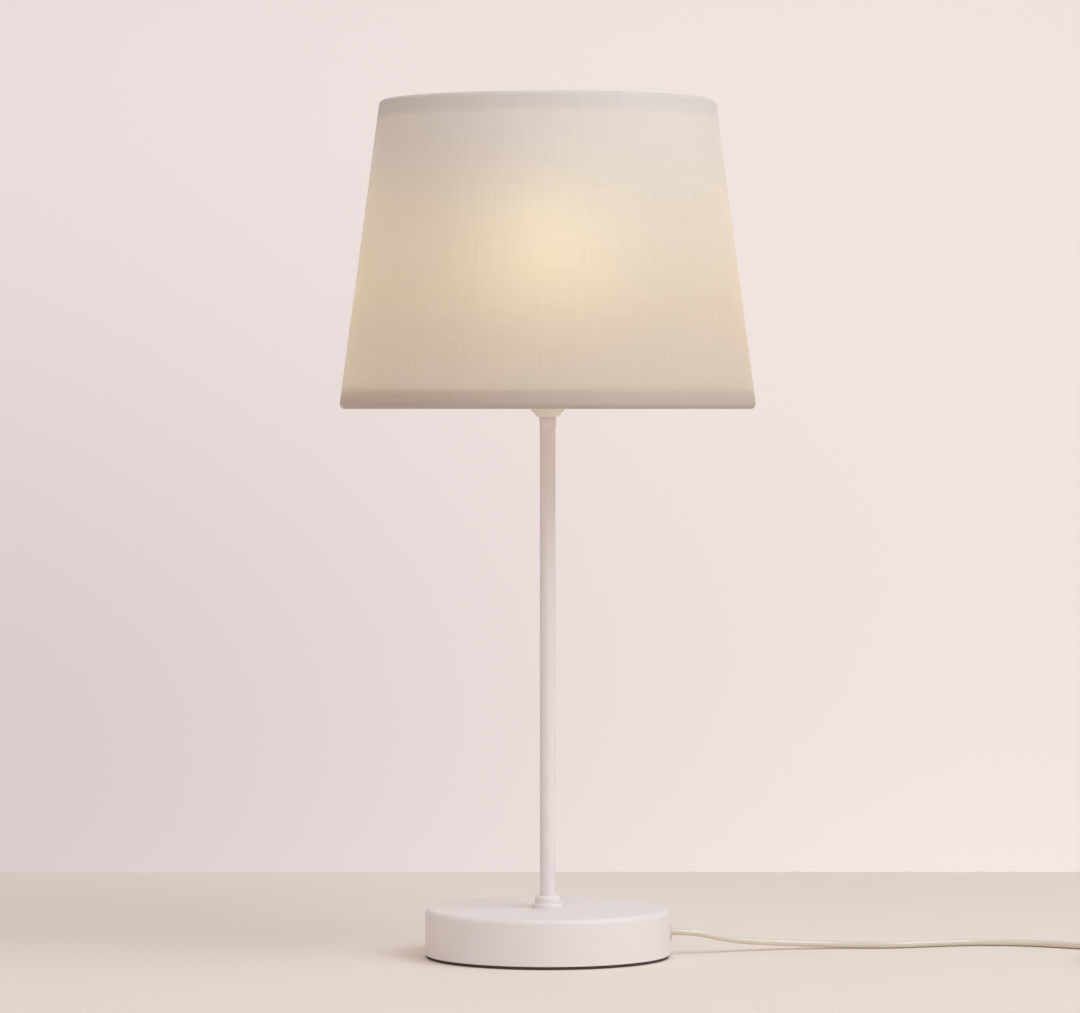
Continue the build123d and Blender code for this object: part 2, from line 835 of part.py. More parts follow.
lip_radius = body_inside(bulb_body_top - globe_lip) - globe_lip_clearance
lip_inside = lip_radius - globe_lip_wall
globe_inner_radius = globe_radius - globe_wall
lip_joint = globe_centre - sqrt(globe_inner_radius**2 - lip_inside**2)
with BuildPart() as bulb_globe:
    with BuildSketch(Plane.XZ):
        with BuildLine():
            ThreePointArc(
                (body_top_radius, bulb_body_top),
                (globe_radius, globe_centre),
                (0, globe_centre + globe_radius),
            )
            Line(
                (0, globe_centre + globe_radius),
                (0, globe_centre + globe_inner_radius),
            )
            ThreePointArc(
                (0, globe_centre + globe_inner_radius),
                (globe_inner_radius, globe_centre),
                (lip_inside, lip_joint),
            )
            Polyline(
                (lip_inside, lip_joint),
                (lip_inside, bulb_body_top - globe_lip),
                (lip_radius, bulb_body_top - globe_lip),
                (lip_radius, bulb_body_top),
                (body_top_radius, bulb_body_top),
            )
        make_face()
    revolve(axis=Axis.Z)

# Shade: laminated sheet with its edges rolled round two wire rings
slope = atan2((shade_bottom_diameter - shade_top_diameter) / 2, shade_height)
shade_plane = Plane(
    origin=(shade_bottom_diameter / 2, 0, shade_bottom),
    x_dir=(cos(slope), 0, sin(slope)),
    z_dir=(0, -1, 0),
)
roll_inner = shade_wire_diameter / 2 + shade_wire_clearance
roll_outer = roll_inner + shade_thickness
roll_low = roll_outer * (1 + sin(slope)) / cos(slope)
roll_high = (shade_height - roll_outer * (1 - sin(slope))) / cos(slope)
leg_tip = -2 * shade_thickness - hem_slit
with BuildPart() as shade_blank:
    with BuildSketch(shade_plane):
        with BuildLine():
            Line((0, roll_high), (0, roll_low))
            ThreePointArc(
                (0, roll_low),
                (-roll_outer, roll_low - roll_outer),
                (-2 * roll_outer, roll_low),
            )
            Polyline(
                (-2 * roll_outer, roll_low),
                (-2 * roll_outer, roll_low + hem_rise),
                (leg_tip, roll_low + hem_leg_height),
                (leg_tip + shade_thickness, roll_low + hem_leg_height),
                (-2 * roll_outer + shade_thickness, roll_low + hem_rise),
                (-2 * roll_outer + shade_thickness, roll_low),
            )
            ThreePointArc(
                (-2 * roll_outer + shade_thickness, roll_low),
                (-roll_outer, roll_low - roll_inner),
                (-shade_thickness, roll_low),
            )
            Line((-shade_thickness, roll_low), (-shade_thickness, roll_high))
            ThreePointArc(
                (-shade_thickness, roll_high),
                (-roll_outer, roll_high + roll_inner),
                (-2 * roll_outer + shade_thickness, roll_high),
            )
            Polyline(
                (-2 * roll_outer + shade_thickness, roll_high),
                (-2 * roll_outer + shade_thickness, roll_high - hem_rise),
                (leg_tip + shade_thickness, roll_high - hem_leg_height),
                (leg_tip, roll_high - hem_leg_height),
                (-2 * roll_outer, roll_high - hem_rise),
                (-2 * roll_outer, roll_high),
            )
            ThreePointArc(
                (-2 * roll_outer, roll_high),
                (-roll_outer, roll_high + roll_outer),
                (0, roll_high),
            )
        make_face()
    revolve(axis=Axis.Z)


def wire_ring(height_along):
    """Wire ring inside a rolled edge, at a height along the shade's slope."""
    with BuildPart() as ring:
        with BuildSketch(shade_plane):
            with Locations((-roll_outer, height_along)):
                Circle(shade_wire_diameter / 2)
        revolve(axis=Axis.Z)
    return ring.part


shade_bottom_ring = wire_ring(roll_low)
shade_top_ring = wire_ring(roll_high)

# Spider: a flat ring on the holder's shoulder and three arms to the bottom wire
with BuildPart() as shade_fitter:
    with BuildSketch(Plane.XY.offset(fitter_bottom)):
        Circle(fitter_outer_diameter / 2)
        Circle(fitter_inner_diameter / 2, mode=Mode.SUBTRACT)
    extrude(amount=fitter_thickness)
    chamfer(
        shade_fitter.edges().group_by(SortBy.LENGTH)[-1],
        length=fitter_edge,
    )

wire_centre = shade_plane.from_local_coords((-roll_outer, roll_low, 0))
arm_from = Vector(
    fitter_outer_diameter / 2 + arm_end_gap,
    0,
    fitter_bottom + fitter_thickness / 2,
)
arm_direction = (wire_centre - arm_from).normalized()
arm_length = (wire_centre - arm_from).length - shade_wire_diameter / 2 - arm_gap
arm_plane = Plane(origin=arm_from, x_dir=(0, 1, 0), z_dir=arm_direction)
with BuildPart() as one_arm:
    with BuildSketch(arm_plane):
        Circle(shade_wire_diameter / 2)
    extrude(amount=arm_length)

with BuildPart() as shade_arms:
    with PolarLocations(0, arm_count, start_angle=arm_azimuth):
        add(one_arm.part)

# Notches in the rolled edge that the arms pass through
with BuildPart() as arm_notch:
    with BuildSketch(arm_plane.offset(arm_length)):
        Circle(shade_wire_diameter / 2 + arm_slot_clearance)
    extrude(amount=-arm_slot_reach)

with BuildPart() as shade_panel:
    add(shade_blank.part)
    with PolarLocations(0, arm_count, start_angle=arm_azimuth):
        add(arm_notch.part, mode=Mode.SUBTRACT)

# Inline switch: two half shells, a rocker, terminals and screws
switch_plane = Plane(origin=(switch_x, switch_y, 0))
switch_split = switch_lower_height
switch_top = switch_lower_height + switch_upper_height
screw_places = [
    (switch_screw_side, switch_screw_offset),
    (-switch_screw_side, -switch_screw_offset),
]
switch_cord_plane = Plane(
    origin=(switch_x, switch_y + switch_length / 2, cord_in_switch),
    x_dir=(-1, 0, 0),
    z_dir=(0, 1, 0),
)
switch_screw_hole = switch_screw_diameter / 2 + switch_boss_clearance
inner_width = switch_width - 2 * switch_wall
inner_length = switch_length - 2 * switch_wall
inner_corner = switch_corner_radius - switch_wall
tilt = radians(rocker_tilt)
opening_length = rocker_length * cos(tilt) + 2 * (
    rocker_end_rise * sin(tilt) + rocker_clearance
)
opening_width = rocker_width + 2 * rocker_clearance
pivot_plane = Plane(
    origin=(switch_x, switch_y, rocker_pivot_height),
    x_dir=(0, 1, 0),
    z_dir=(1, 0, 0),
)
rocker_plane = Plane(
    origin=(switch_x, switch_y, rocker_pivot_height),
    x_dir=(0, cos(tilt), sin(tilt)),
    z_dir=(1, 0, 0),
)

with BuildPart() as switch_base:
    with BuildSketch(switch_plane):
        RectangleRounded(switch_width, switch_length, switch_corner_radius)
    extrude(amount=switch_lower_height)
    chamfer(switch_base.edges().group_by(Axis.Z)[0], length=switch_foot_edge)
    with BuildSketch(switch_plane.offset(switch_wall)):
        RectangleRounded(inner_width, inner_length, inner_corner)
    extrude(amount=switch_lower_height - switch_wall, mode=Mode.SUBTRACT)
    with BuildSketch(switch_plane):
        with Locations(*screw_places):
            Circle(switch_boss_diameter / 2)
    extrude(amount=switch_lower_height)
    with BuildSketch(switch_plane):
        with Locations(*screw_places):
            Circle(switch_screw_head_diameter / 2 + switch_boss_clearance)
    extrude(amount=switch_screw_recess, mode=Mode.SUBTRACT)
    with BuildSketch(switch_plane):
        with Locations(*screw_places):
            Circle(switch_screw_hole)
    extrude(amount=switch_lower_height, mode=Mode.SUBTRACT)
    with BuildSketch(switch_cord_plane):
        SlotOverall(cord_width + 2 * switch_cord_fit, cord_thickness + 2 * switch_cord_fit)
    extrude(amount=-switch_length, mode=Mode.SUBTRACT)

with BuildPart() as switch_cover:
    with BuildSketch(switch_plane.offset(switch_split)):
        RectangleRounded(switch_width, switch_length, switch_corner_radius)
    extrude(amount=switch_upper_height)
    fillet(switch_cover.edges().group_by(Axis.Z)[-1], radius=switch_edge)
    with BuildSketch(switch_plane.offset(switch_split)):
        RectangleRounded(inner_width, inner_length, inner_corner)
    extrude(amount=switch_upper_height - switch_wall, mode=Mode.SUBTRACT)
    with BuildSketch(switch_plane.offset(switch_split)):
        with Locations(*screw_places):
            Circle(switch_boss_diameter / 2)
    extrude(amount=switch_upper_height - switch_wall)
    with BuildSketch(switch_plane.offset(switch_split)):
        with Locations(*screw_places):
            Circle(switch_screw_diameter / 2)
    extrude(amount=switch_screw_recess + switch_screw_length - switch_split, mode=Mode.SUBTRACT)
    ear_middle = opening_width / 2 + ear_thickness / 2
    with BuildSketch(switch_plane.offset(rocker_pivot_height - ear_below)):
        with Locations((ear_middle, 0), (-ear_middle, 0)):
            Rectangle(ear_thickness, ear_width)
    extrude(amount=switch_top - switch_wall - rocker_pivot_height + ear_below)
    with BuildSketch(switch_plane.offset(switch_top)):
        Rectangle(opening_width, opening_length)
    extrude(amount=-switch_upper_height, mode=Mode.SUBTRACT)
    with BuildSketch(pivot_plane.offset(-inner_width / 2)):
        Circle(trunnion_diameter / 2 + trunnion_clearance)
    extrude(amount=inner_width, mode=Mode.SUBTRACT)
    with BuildSketch(switch_cord_plane):
        SlotOverall(cord_width + 2 * switch_cord_fit, cord_thickness + 2 * switch_cord_fit)
    extrude(amount=-switch_length, mode=Mode.SUBTRACT)

# Rocker on two trunnions, tilted to its on side
with BuildPart() as switch_rocker:
    with BuildSketch(rocker_plane.offset(-rocker_width / 2)):
        with BuildLine():
            Polyline(
                (-rocker_length / 2, rocker_end_rise),
                (0, rocker_middle_rise),
                (rocker_length / 2, rocker_end_rise),
                (rocker_length / 2 - rocker_foot_inset, -rocker_shoulder),
                (rocker_nub, -rocker_below),
                (-rocker_nub, -rocker_below),
                (-rocker_length / 2 + rocker_foot_inset, -rocker_shoulder),
                close=True,
            )
        make_face()
    extrude(amount=rocker_width)
    with BuildSketch(rocker_plane.offset(-rocker_width / 2 - trunnion_length)):
        Circle(trunnion_diameter / 2)
    extrude(amount=rocker_width + 2 * trunnion_length)

# Screws from below, terminals, their screws and the two contact blades
with BuildPart() as switch_screws:
    with BuildSketch(switch_plane.offset(switch_screw_recess)):
        with Locations(*screw_places):
            Circle(switch_screw_head_diameter / 2)
    extrude(amount=-switch_screw_head_height)
    with BuildSketch(switch_plane.offset(switch_screw_recess)):
        with Locations(*screw_places):
            Circle(switch_screw_diameter / 2)
    extrude(amount=switch_screw_length)
    with BuildSketch(switch_plane.offset(switch_screw_recess - switch_screw_head_height)):
        with Locations(*screw_places):
            Rectangle(switch_screw_head_diameter, screw_slot_width)
    extrude(amount=screw_slot_depth, mode=Mode.SUBTRACT)

terminal_top = switch_wall + switch_terminal_height
terminal_places = [
    (-switch_terminal_side, switch_terminal_offset),
    (-switch_terminal_side, -switch_terminal_offset),
]
with BuildPart() as switch_terminals:
    with BuildSketch(switch_plane.offset(switch_wall)):
        with Locations(*terminal_places):
            Rectangle(switch_terminal_width, switch_terminal_length)
    extrude(amount=switch_terminal_height)

blade_plane = Plane(
    origin=(switch_x - switch_terminal_side, switch_y, terminal_top),
    x_dir=(0, 1, 0),
    z_dir=(1, 0, 0),
)
terminal_end = switch_terminal_offset + switch_terminal_length / 2
terminal_start = switch_terminal_offset - switch_terminal_length / 2
blade_middle = blade_thickness / 2
arch_middle = blade_arch_height - terminal_top - blade_middle
touch_middle = blade_middle + blade_thickness + blade_gap
with BuildPart() as fixed_contact:
    with BuildSketch(blade_plane):
        with BuildLine():
            Line((-terminal_end, blade_middle), (-blade_tip / 2, blade_middle))
        trace(line_width=blade_thickness)
    extrude(amount=blade_width / 2, both=True)

with BuildPart() as sprung_contact:
    with BuildSketch(blade_plane):
        with BuildLine():
            Polyline(
                (terminal_end, blade_middle),
                (terminal_start, blade_middle),
                (rocker_nub, arch_middle),
                (-rocker_nub, arch_middle),
                (-blade_tip, touch_middle),
            )
        trace(line_width=blade_thickness)
    extrude(amount=blade_width / 2, both=True)

with BuildPart() as switch_terminal_screws:
    with BuildSketch(switch_plane.offset(terminal_top + blade_thickness)):
        with Locations(*terminal_places):
            Circle(switch_terminal_screw_diameter / 2)
            Rectangle(
                switch_terminal_screw_diameter,
                screw_slot_width,
                mode=Mode.SUBTRACT,
            )
    extrude(amount=switch_terminal_screw_height)

# Where each flex stops inside the switch, and the cores between them
switch_near = switch_y + switch_length / 2
switch_far = switch_y - switch_length / 2
flex_stop = switch_wall + switch_cord_reach
core_span = switch_length - 2 * flex_stop
with BuildPart() as switch_neutral_core:
    with BuildSketch(switch_cord_plane.offset(-flex_stop)):
        with Locations((-core_x, 0)):
            Circle(core_diameter / 2)
    extrude(amount=-core_span)

with BuildPart() as switch_live_cores:
    for side in (1, -1):
        with BuildSketch(switch_cord_plane.offset(side * core_span / 2 - switch_length / 2)):
            with Locations((core_x, 0)):
                Circle(core_diameter / 2)
        extrude(amount=-side * (core_span / 2 - terminal_end))

# Plug: moulded body with a ribbed strain relief, two pins and their sleeves
plug_plane = Plane(
    origin=(plug_x, plug_back_y, plug_height / 2),
    x_dir=(-1, 0, 0),
    z_dir=(0, 1, 0),
)
with BuildPart() as plug_body:
    with BuildSketch(plug_plane.offset(-relief_length)):
        SlotOverall(relief_tip_width, relief_tip_height)
    with BuildSketch(plug_plane):
        SlotOverall(plug_rear_width, plug_rear_height)
    loft()
    for index in range(relief_groove_count):
        share = (index + 1) / (relief_groove_count + 1)
        groove_width = relief_tip_width + share * (plug_rear_width - relief_tip_width)
        groove_height = relief_tip_height + share * (plug_rear_height - relief_tip_height)
        groove_start = share * relief_length - relief_length - relief_groove_width / 2
        with BuildSketch(plug_plane.offset(groove_start)):
            Rectangle(plug_width, plug_height)
            SlotOverall(
                groove_width - 2 * relief_groove_depth,
                groove_height - 2 * relief_groove_depth,
                mode=Mode.SUBTRACT,
            )
        extrude(amount=relief_groove_width, mode=Mode.SUBTRACT)
    with BuildSketch(plug_plane):
        SlotOverall(plug_rear_width, plug_rear_height)
    with BuildSketch(plug_plane.offset(plug_waist_share * plug_length)):
        SlotOverall(plug_waist_width, plug_waist_height)
    with BuildSketch(plug_plane.offset(plug_length)):
        SlotOverall(plug_width, plug_height)
    loft()
    with BuildSketch(plug_plane.offset(plug_length)):
        with GridLocations(pin_spacing, 0, 2, 1):
            Circle(pin_core_diameter / 2 + pin_root_clearance)
    extrude(amount=-pin_root, mode=Mode.SUBTRACT)

with BuildPart() as plug_pins:
    with BuildSketch(plug_plane.offset(plug_length - pin_root)):
        with GridLocations(pin_spacing, 0, 2, 1):
            Circle(pin_core_diameter / 2)
    extrude(amount=pin_root + pin_sleeve_length)
    with BuildSketch(plug_plane.offset(plug_length + pin_sleeve_length)):
        with GridLocations(pin_spacing, 0, 2, 1):
            Circle(pin_diameter / 2)
    extrude(amount=pin_length - pin_sleeve_length)
    fillet(plug_pins.edges().group_by(Axis.Y)[-1], radius=pin_tip_fillet)

with BuildPart() as plug_pin_sleeves:
    with BuildSketch(plug_plane.offset(plug_length)):
        with GridLocations(pin_spacing, 0, 2, 1):
            Circle(pin_sleeve_diameter / 2)
            Circle(pin_core_diameter / 2, mode=Mode.SUBTRACT)
    extrude(amount=pin_sleeve_length)

# Flex from the bush to the switch: a list of places chosen by hand
lamp_route = [
    (bush_face * bush_out.X, bush_face * bush_out.Y, bush_height),
    (70.4, 9.9, bush_height),
    (81.8, 14.9, 7.8),
    (93.0, 21.5, 5.4),
    (108.0, 29.0, 3.9),
    (125.5, 35.0, 2.7),
    (146.0, 38.0, cord_floor),
    (167.0, 36.5, cord_floor),
    (187.0, 44.0, cord_floor),
    (208.0, 50.0, cord_floor),
    (231.0, 48.5, cord_floor),
    (250.0, 40.0, cord_floor),
    (264.0, 31.0, cord_floor),
    (274.0, 21.0, 2.3),
    (279.0, 10.0, 4.6),
    (switch_x, 0, cord_in_switch),
    (switch_x, switch_near - flex_stop, cord_in_switch),
]
cord_to_switch = flat_flex(lamp_route, corner_radii(lamp_route))

# Coil: turns spiral in on the floor layer, climb, and spiral out on the layer above
coil_height = cord_floor + coil_lift
coil_start_y = switch_far - coil_clear_of_switch
quarter_step = coil_pitch / 4
turn_radius = coil_outer_radius
turn_angle = pi
turn_centre = Vector(switch_x + coil_outer_radius, coil_start_y, coil_height)


def unit(angle):
    """Level unit vector at an angle."""
    return Vector(cos(angle), sin(angle), 0)


def quarter_turns(centre, angle, radius, step):
    """Quarter arcs of a flat spiral, each radius changing by one step."""
    arcs = []
    for index in range(coil_quarters):
        start = centre + radius * unit(angle)
        tangent = unit(angle + pi / 2)
        angle = angle + pi / 2
        end = centre + radius * unit(angle)
        arcs.append((start, end, tangent))
        if index < coil_quarters - 1:
            centre = centre - step * unit(angle)
            radius = radius + step
    return arcs, centre, angle, radius


arcs_in, in_centre, climb_angle, in_radius = quarter_turns(
    turn_centre, turn_angle, turn_radius, -quarter_step
)
climb_radius = in_radius - quarter_step
climb_centre = in_centre + quarter_step * unit(climb_angle)
climb_start = climb_centre + climb_radius * unit(climb_angle)
climb_end = climb_centre - climb_radius * unit(climb_angle) + Vector(0, 0, coil_layer_pitch)
climb_reach = sqrt(climb_radius**2 + (coil_layer_pitch / 2) ** 2)
climb_middle = (
    climb_centre
    + climb_reach * unit(climb_angle + pi / 2)
    + Vector(0, 0, coil_layer_pitch / 2)
)
arcs_climb = [
    (climb_start, climb_middle, unit(climb_angle + pi / 2)),
    (climb_middle, climb_end, (climb_end - climb_start).normalized()),
]
arcs_out, _, out_angle, _ = quarter_turns(
    climb_end + in_radius * unit(climb_angle),
    climb_angle + pi,
    in_radius,
    quarter_step,
)
coil_entry = arcs_in[0][0]
coil_entry_tip = coil_entry - coil_end_straight * arcs_in[0][2]
coil_exit = arcs_out[-1][1]
coil_exit_direction = unit(out_angle + pi / 2)
coil_exit_tip = coil_exit + coil_end_straight * coil_exit_direction
with BuildPart() as coil_part:
    with BuildLine() as coil_line:
        Line(coil_entry_tip, coil_entry)
        for start, end, tangent in arcs_in + arcs_climb + arcs_out:
            TangentArc(start, end, tangent=tangent)
        Line(coil_exit, coil_exit_tip)
    with BuildSketch(section_plane(coil_entry_tip, coil_entry)):
        SlotOverall(cord_width, cord_thickness)
    sweep()
cord_coil = coil_part.part

# Short lead from the switch to the coil
coil_lead_route = [
    (switch_x, switch_far + flex_stop, cord_in_switch),
    (switch_x, -71.0, cord_in_switch),
    (switch_x, -87.5, coil_height),
    (switch_x, coil_entry_tip.Y, coil_height),
]
cord_to_coil = flat_flex(coil_lead_route, corner_radii(coil_lead_route))

# Tail from the coil's last turn to the plug
tail_route = [
    (coil_exit_tip.X, coil_exit_tip.Y, coil_exit_tip.Z),
    (coil_exit_tip.X, -85.4, coil_exit_tip.Z),
    (361.9, -74.4, 6.6),
    (353.5, -66.0, 6.75),
    (plug_x, -55.0, plug_height / 2),
    (plug_x, plug_back_y - relief_length, plug_height / 2),
]
cord_to_plug = flat_flex(tail_route, corner_radii(tail_route))

# Soft tie round the coil's turns, where all of them run side by side
tie_plane = Plane(
    origin=(turn_centre.X, turn_centre.Y, 0),
    x_dir=(0, -1, 0),
    z_dir=(-1, 0, 0),
)
tie_inside_radius = climb_radius - cord_width / 2 - tie_clearance
tie_outside_radius = coil_outer_radius + cord_width / 2 + tie_clearance
tie_top = coil_height + coil_layer_pitch + cord_thickness / 2 + tie_clearance + tie_thickness
tie_span = tie_outside_radius - tie_inside_radius + 2 * tie_thickness
with BuildPart() as coil_tie:
    with BuildSketch(tie_plane):
        with Locations(((tie_inside_radius + tie_outside_radius) / 2, tie_top / 2)):
            RectangleRounded(tie_span, tie_top, tie_corner)
            RectangleRounded(
                tie_span - 2 * tie_thickness,
                tie_top - 2 * tie_thickness,
                tie_corner - tie_thickness,
                mode=Mode.SUBTRACT,
            )
    extrude(amount=tie_width / 2, both=True)


def least_coil_gap(samples):
    """Least gap between the flex's flat section and itself, a third of a turn or more apart."""
    wire = Wire(coil_line.edges())
    places = [wire @ (index / samples) for index in range(samples + 1)]
    apart = int(samples * 2 * climb_radius / wire.length)
    least = coil_pitch
    for index, place in enumerate(places):
        for other in places[index + apart:]:
            level = hypot(place.X - other.X, place.Y - other.Y)
            sideways = max(0, level - (cord_width - cord_thickness))
            least = min(least, hypot(sideways, place.Z - other.Z) - cord_thickness)
    return least


def print_route(name, points):
    """Print the radius of each bend of a flex."""
    radii = corner_radii(points)
    print(name, "radii", [round(radius, 1) for radius in radii])


section_area = pi * (cord_thickness / 2) ** 2 + (cord_width - cord_thickness) * cord_thickness
print_route("lamp flex", lamp_route)
print_route("coil lead", coil_lead_route)
print_route("plug tail", tail_route)
print("coil exit", coil_exit_tip)
print("coil inner radius", round(climb_radius, 2), "gap", round(least_coil_gap(700), 3))
print("coil length", round(Wire(coil_line.edges()).length, 1))
for name, flex in (
    ("inner_flex", inner_flex),
    ("cord_to_switch", cord_to_switch),
    ("cord_to_coil", cord_to_coil),
    ("cord_coil", cord_coil),
    ("cord_to_plug", cord_to_plug),
):
    print(name, "length from volume", round(flex.volume / section_area, 1))

pieces = {
    "base_shell": base_shell.part,
    "base_weight": base_weight.part,
    "base_plate": base_plate.part,
    "foot_pad": foot_pad.part,
    "stem_collar": stem_collar.part,
    "stem_washer": stem_washer.part,
    "stem_nut": stem_nut.part,
    "stem_tube": stem_tube.part,
    "cable_bush": cable_bush.part,
    "cord_clamp": cord_clamp.part,
    "clamp_screw": clamp_screw.part,
    "inner_flex": inner_flex,
    "top_coupler": top_coupler.part,
    "holder_cap": holder_cap.part,
    "holder_barrel": holder_barrel.part,
    "holder_insert": holder_insert.part,
    "screw_shell": screw_shell.part,
    "centre_contact": centre_contact.part,
    "holder_terminals": holder_terminals.part,
    "terminal_screws": terminal_screws.part,
    "core_live": core_live,
    "core_neutral": core_neutral,
    "shade_ring": shade_ring.part,
    "bulb_tip": bulb_tip.part,
    "bulb_insulator": bulb_insulator.part,
    "bulb_cap": bulb_cap.part,
    "bulb_body": bulb_body.part,
    "led_board": led_board.part,
    "led_chips": led_chips.part,
    "bulb_globe": bulb_globe.part,
    "shade_panel": shade_panel.part,
    "shade_bottom_ring": shade_bottom_ring,
    "shade_top_ring": shade_top_ring,
    "shade_fitter": shade_fitter.part,
    "shade_arms": shade_arms.part,
    "switch_base": switch_base.part,
    "switch_cover": switch_cover.part,
    "switch_rocker": switch_rocker.part,
    "switch_screws": switch_screws.part,
    "switch_terminals": switch_terminals.part,
    "switch_terminal_screws": switch_terminal_screws.part,
    "fixed_contact": fixed_contact.part,
    "sprung_contact": sprung_contact.part,
    "switch_neutral_core": switch_neutral_core.part,
    "switch_live_cores": switch_live_cores.part,
    "plug_body": plug_body.part,
    "plug_pins": plug_pins.part,
    "plug_pin_sleeves": plug_pin_sleeves.part,
    "cord_to_switch": cord_to_switch,
    "cord_to_coil": cord_to_coil,
    "cord_coil": cord_coil,
    "cord_to_plug": cord_to_plug,
    "coil_tie": coil_tie.part,
}
for name, piece in pieces.items():
    piece.label = name
    export_step(piece, f"parts/{name}.step")
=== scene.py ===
"""A small table lamp with a lit drum shade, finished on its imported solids."""

import json
import math

import bmesh
import bpy
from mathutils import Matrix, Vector
from mathutils.kdtree import KDTree


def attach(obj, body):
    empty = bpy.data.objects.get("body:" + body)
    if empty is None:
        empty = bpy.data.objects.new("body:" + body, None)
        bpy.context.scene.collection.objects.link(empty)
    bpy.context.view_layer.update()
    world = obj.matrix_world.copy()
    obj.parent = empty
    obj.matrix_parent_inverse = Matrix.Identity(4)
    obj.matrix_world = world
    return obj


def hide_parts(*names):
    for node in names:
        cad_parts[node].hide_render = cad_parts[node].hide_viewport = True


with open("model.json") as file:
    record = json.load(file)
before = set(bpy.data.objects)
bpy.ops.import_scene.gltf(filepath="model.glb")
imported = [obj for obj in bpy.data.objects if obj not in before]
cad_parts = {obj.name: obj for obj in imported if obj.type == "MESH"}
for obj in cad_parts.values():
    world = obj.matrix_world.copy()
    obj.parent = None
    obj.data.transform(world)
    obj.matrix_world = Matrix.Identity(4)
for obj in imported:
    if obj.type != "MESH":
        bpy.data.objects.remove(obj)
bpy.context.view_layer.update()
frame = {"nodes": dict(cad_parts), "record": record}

bl_info = {
    "name": "Table Lamp",
    "version": (1, 0, 0),
    "blender": (4, 5, 0),
    "location": "3D View > Sidebar > Table Lamp",
    "description": "A table lamp with a lit drum shade, a slim stem and a clear flex",
    "category": "Add Mesh",
}

MM = 0.001

# Camera: a lens of so many pixels of the picture, level but for the pixels between the
# picture's middle and the horizon, and turned by the pixels that the stem stands aside
EYE = (0.0, -2.4, 0.263)
SENSOR_WIDTH = 36.0
PICTURE_WIDTH = 1080
FOCAL_PIXELS = 5004
HORIZON_PIXELS = 506.5 - 409
STEM_PIXELS = 7.7
NEAREST, FARTHEST = 0.1, 60.0

# Slabs of the stage: name, size, middle and colour
SLABS = (
    ("Table", (5.0, 3.44, 0.02), (0.0, -1.28, -0.0101), "#f2e5da"),
    ("Wall", (9.0, 0.02, 6.0), (0.0, 3.6, 1.2), "#f6ebe6"),
)

# Paint of the wall at its left and right, near the table and high up, and the metres over
# which it changes. These tones are painted light and shade: darker low and to the left,
# lighter high and to the right, fitted to the picture's uneven light
WALL_LOW_PAINTED_SHADE = ("#d4c8c6", "#ecdfd9")
WALL_HIGH_PAINTED_LIGHT = ("#f8ece9", "#fcf0eb")
WALL_SHADING_SPANS = (("X", (-0.68, 0.68)), ("Z", (-0.28, 0.77)))

# Square lights: name, place, aim, side, power and colour
LAMP_MIDDLE = (0.0, 0.0, 0.2)
LIGHTS = (
    ("Window light", (1.7, -1.2, 2.2), LAMP_MIDDLE, 2.2, 52.0, (0.8, 0.92, 1.0)),
    ("Front fill", (-1.2, -2.2, 1.7), LAMP_MIDDLE, 1.6, 9.0, (0.78, 0.88, 1.0)),
    ("Wall light", (0.1, 1.4, -2.2), (0.1, 3.6, 0.4), 1.6, 64.0, (0.93, 0.96, 1.0)),
)
ROOM_COLOUR = (1.0, 0.92, 0.89, 1.0)
ROOM_STRENGTH = 0.52

# Plain finishes: noise scales per metre, how far the gloss varies, and how deep the grain
# is beside its width
DRIFT_SCALE = 30.0
DRIFT_DETAIL = 3.0
GRAIN_DETAIL = 2.0
GLOSS_SPREAD = 0.1
GRAIN_DEPTH = 1 / 12

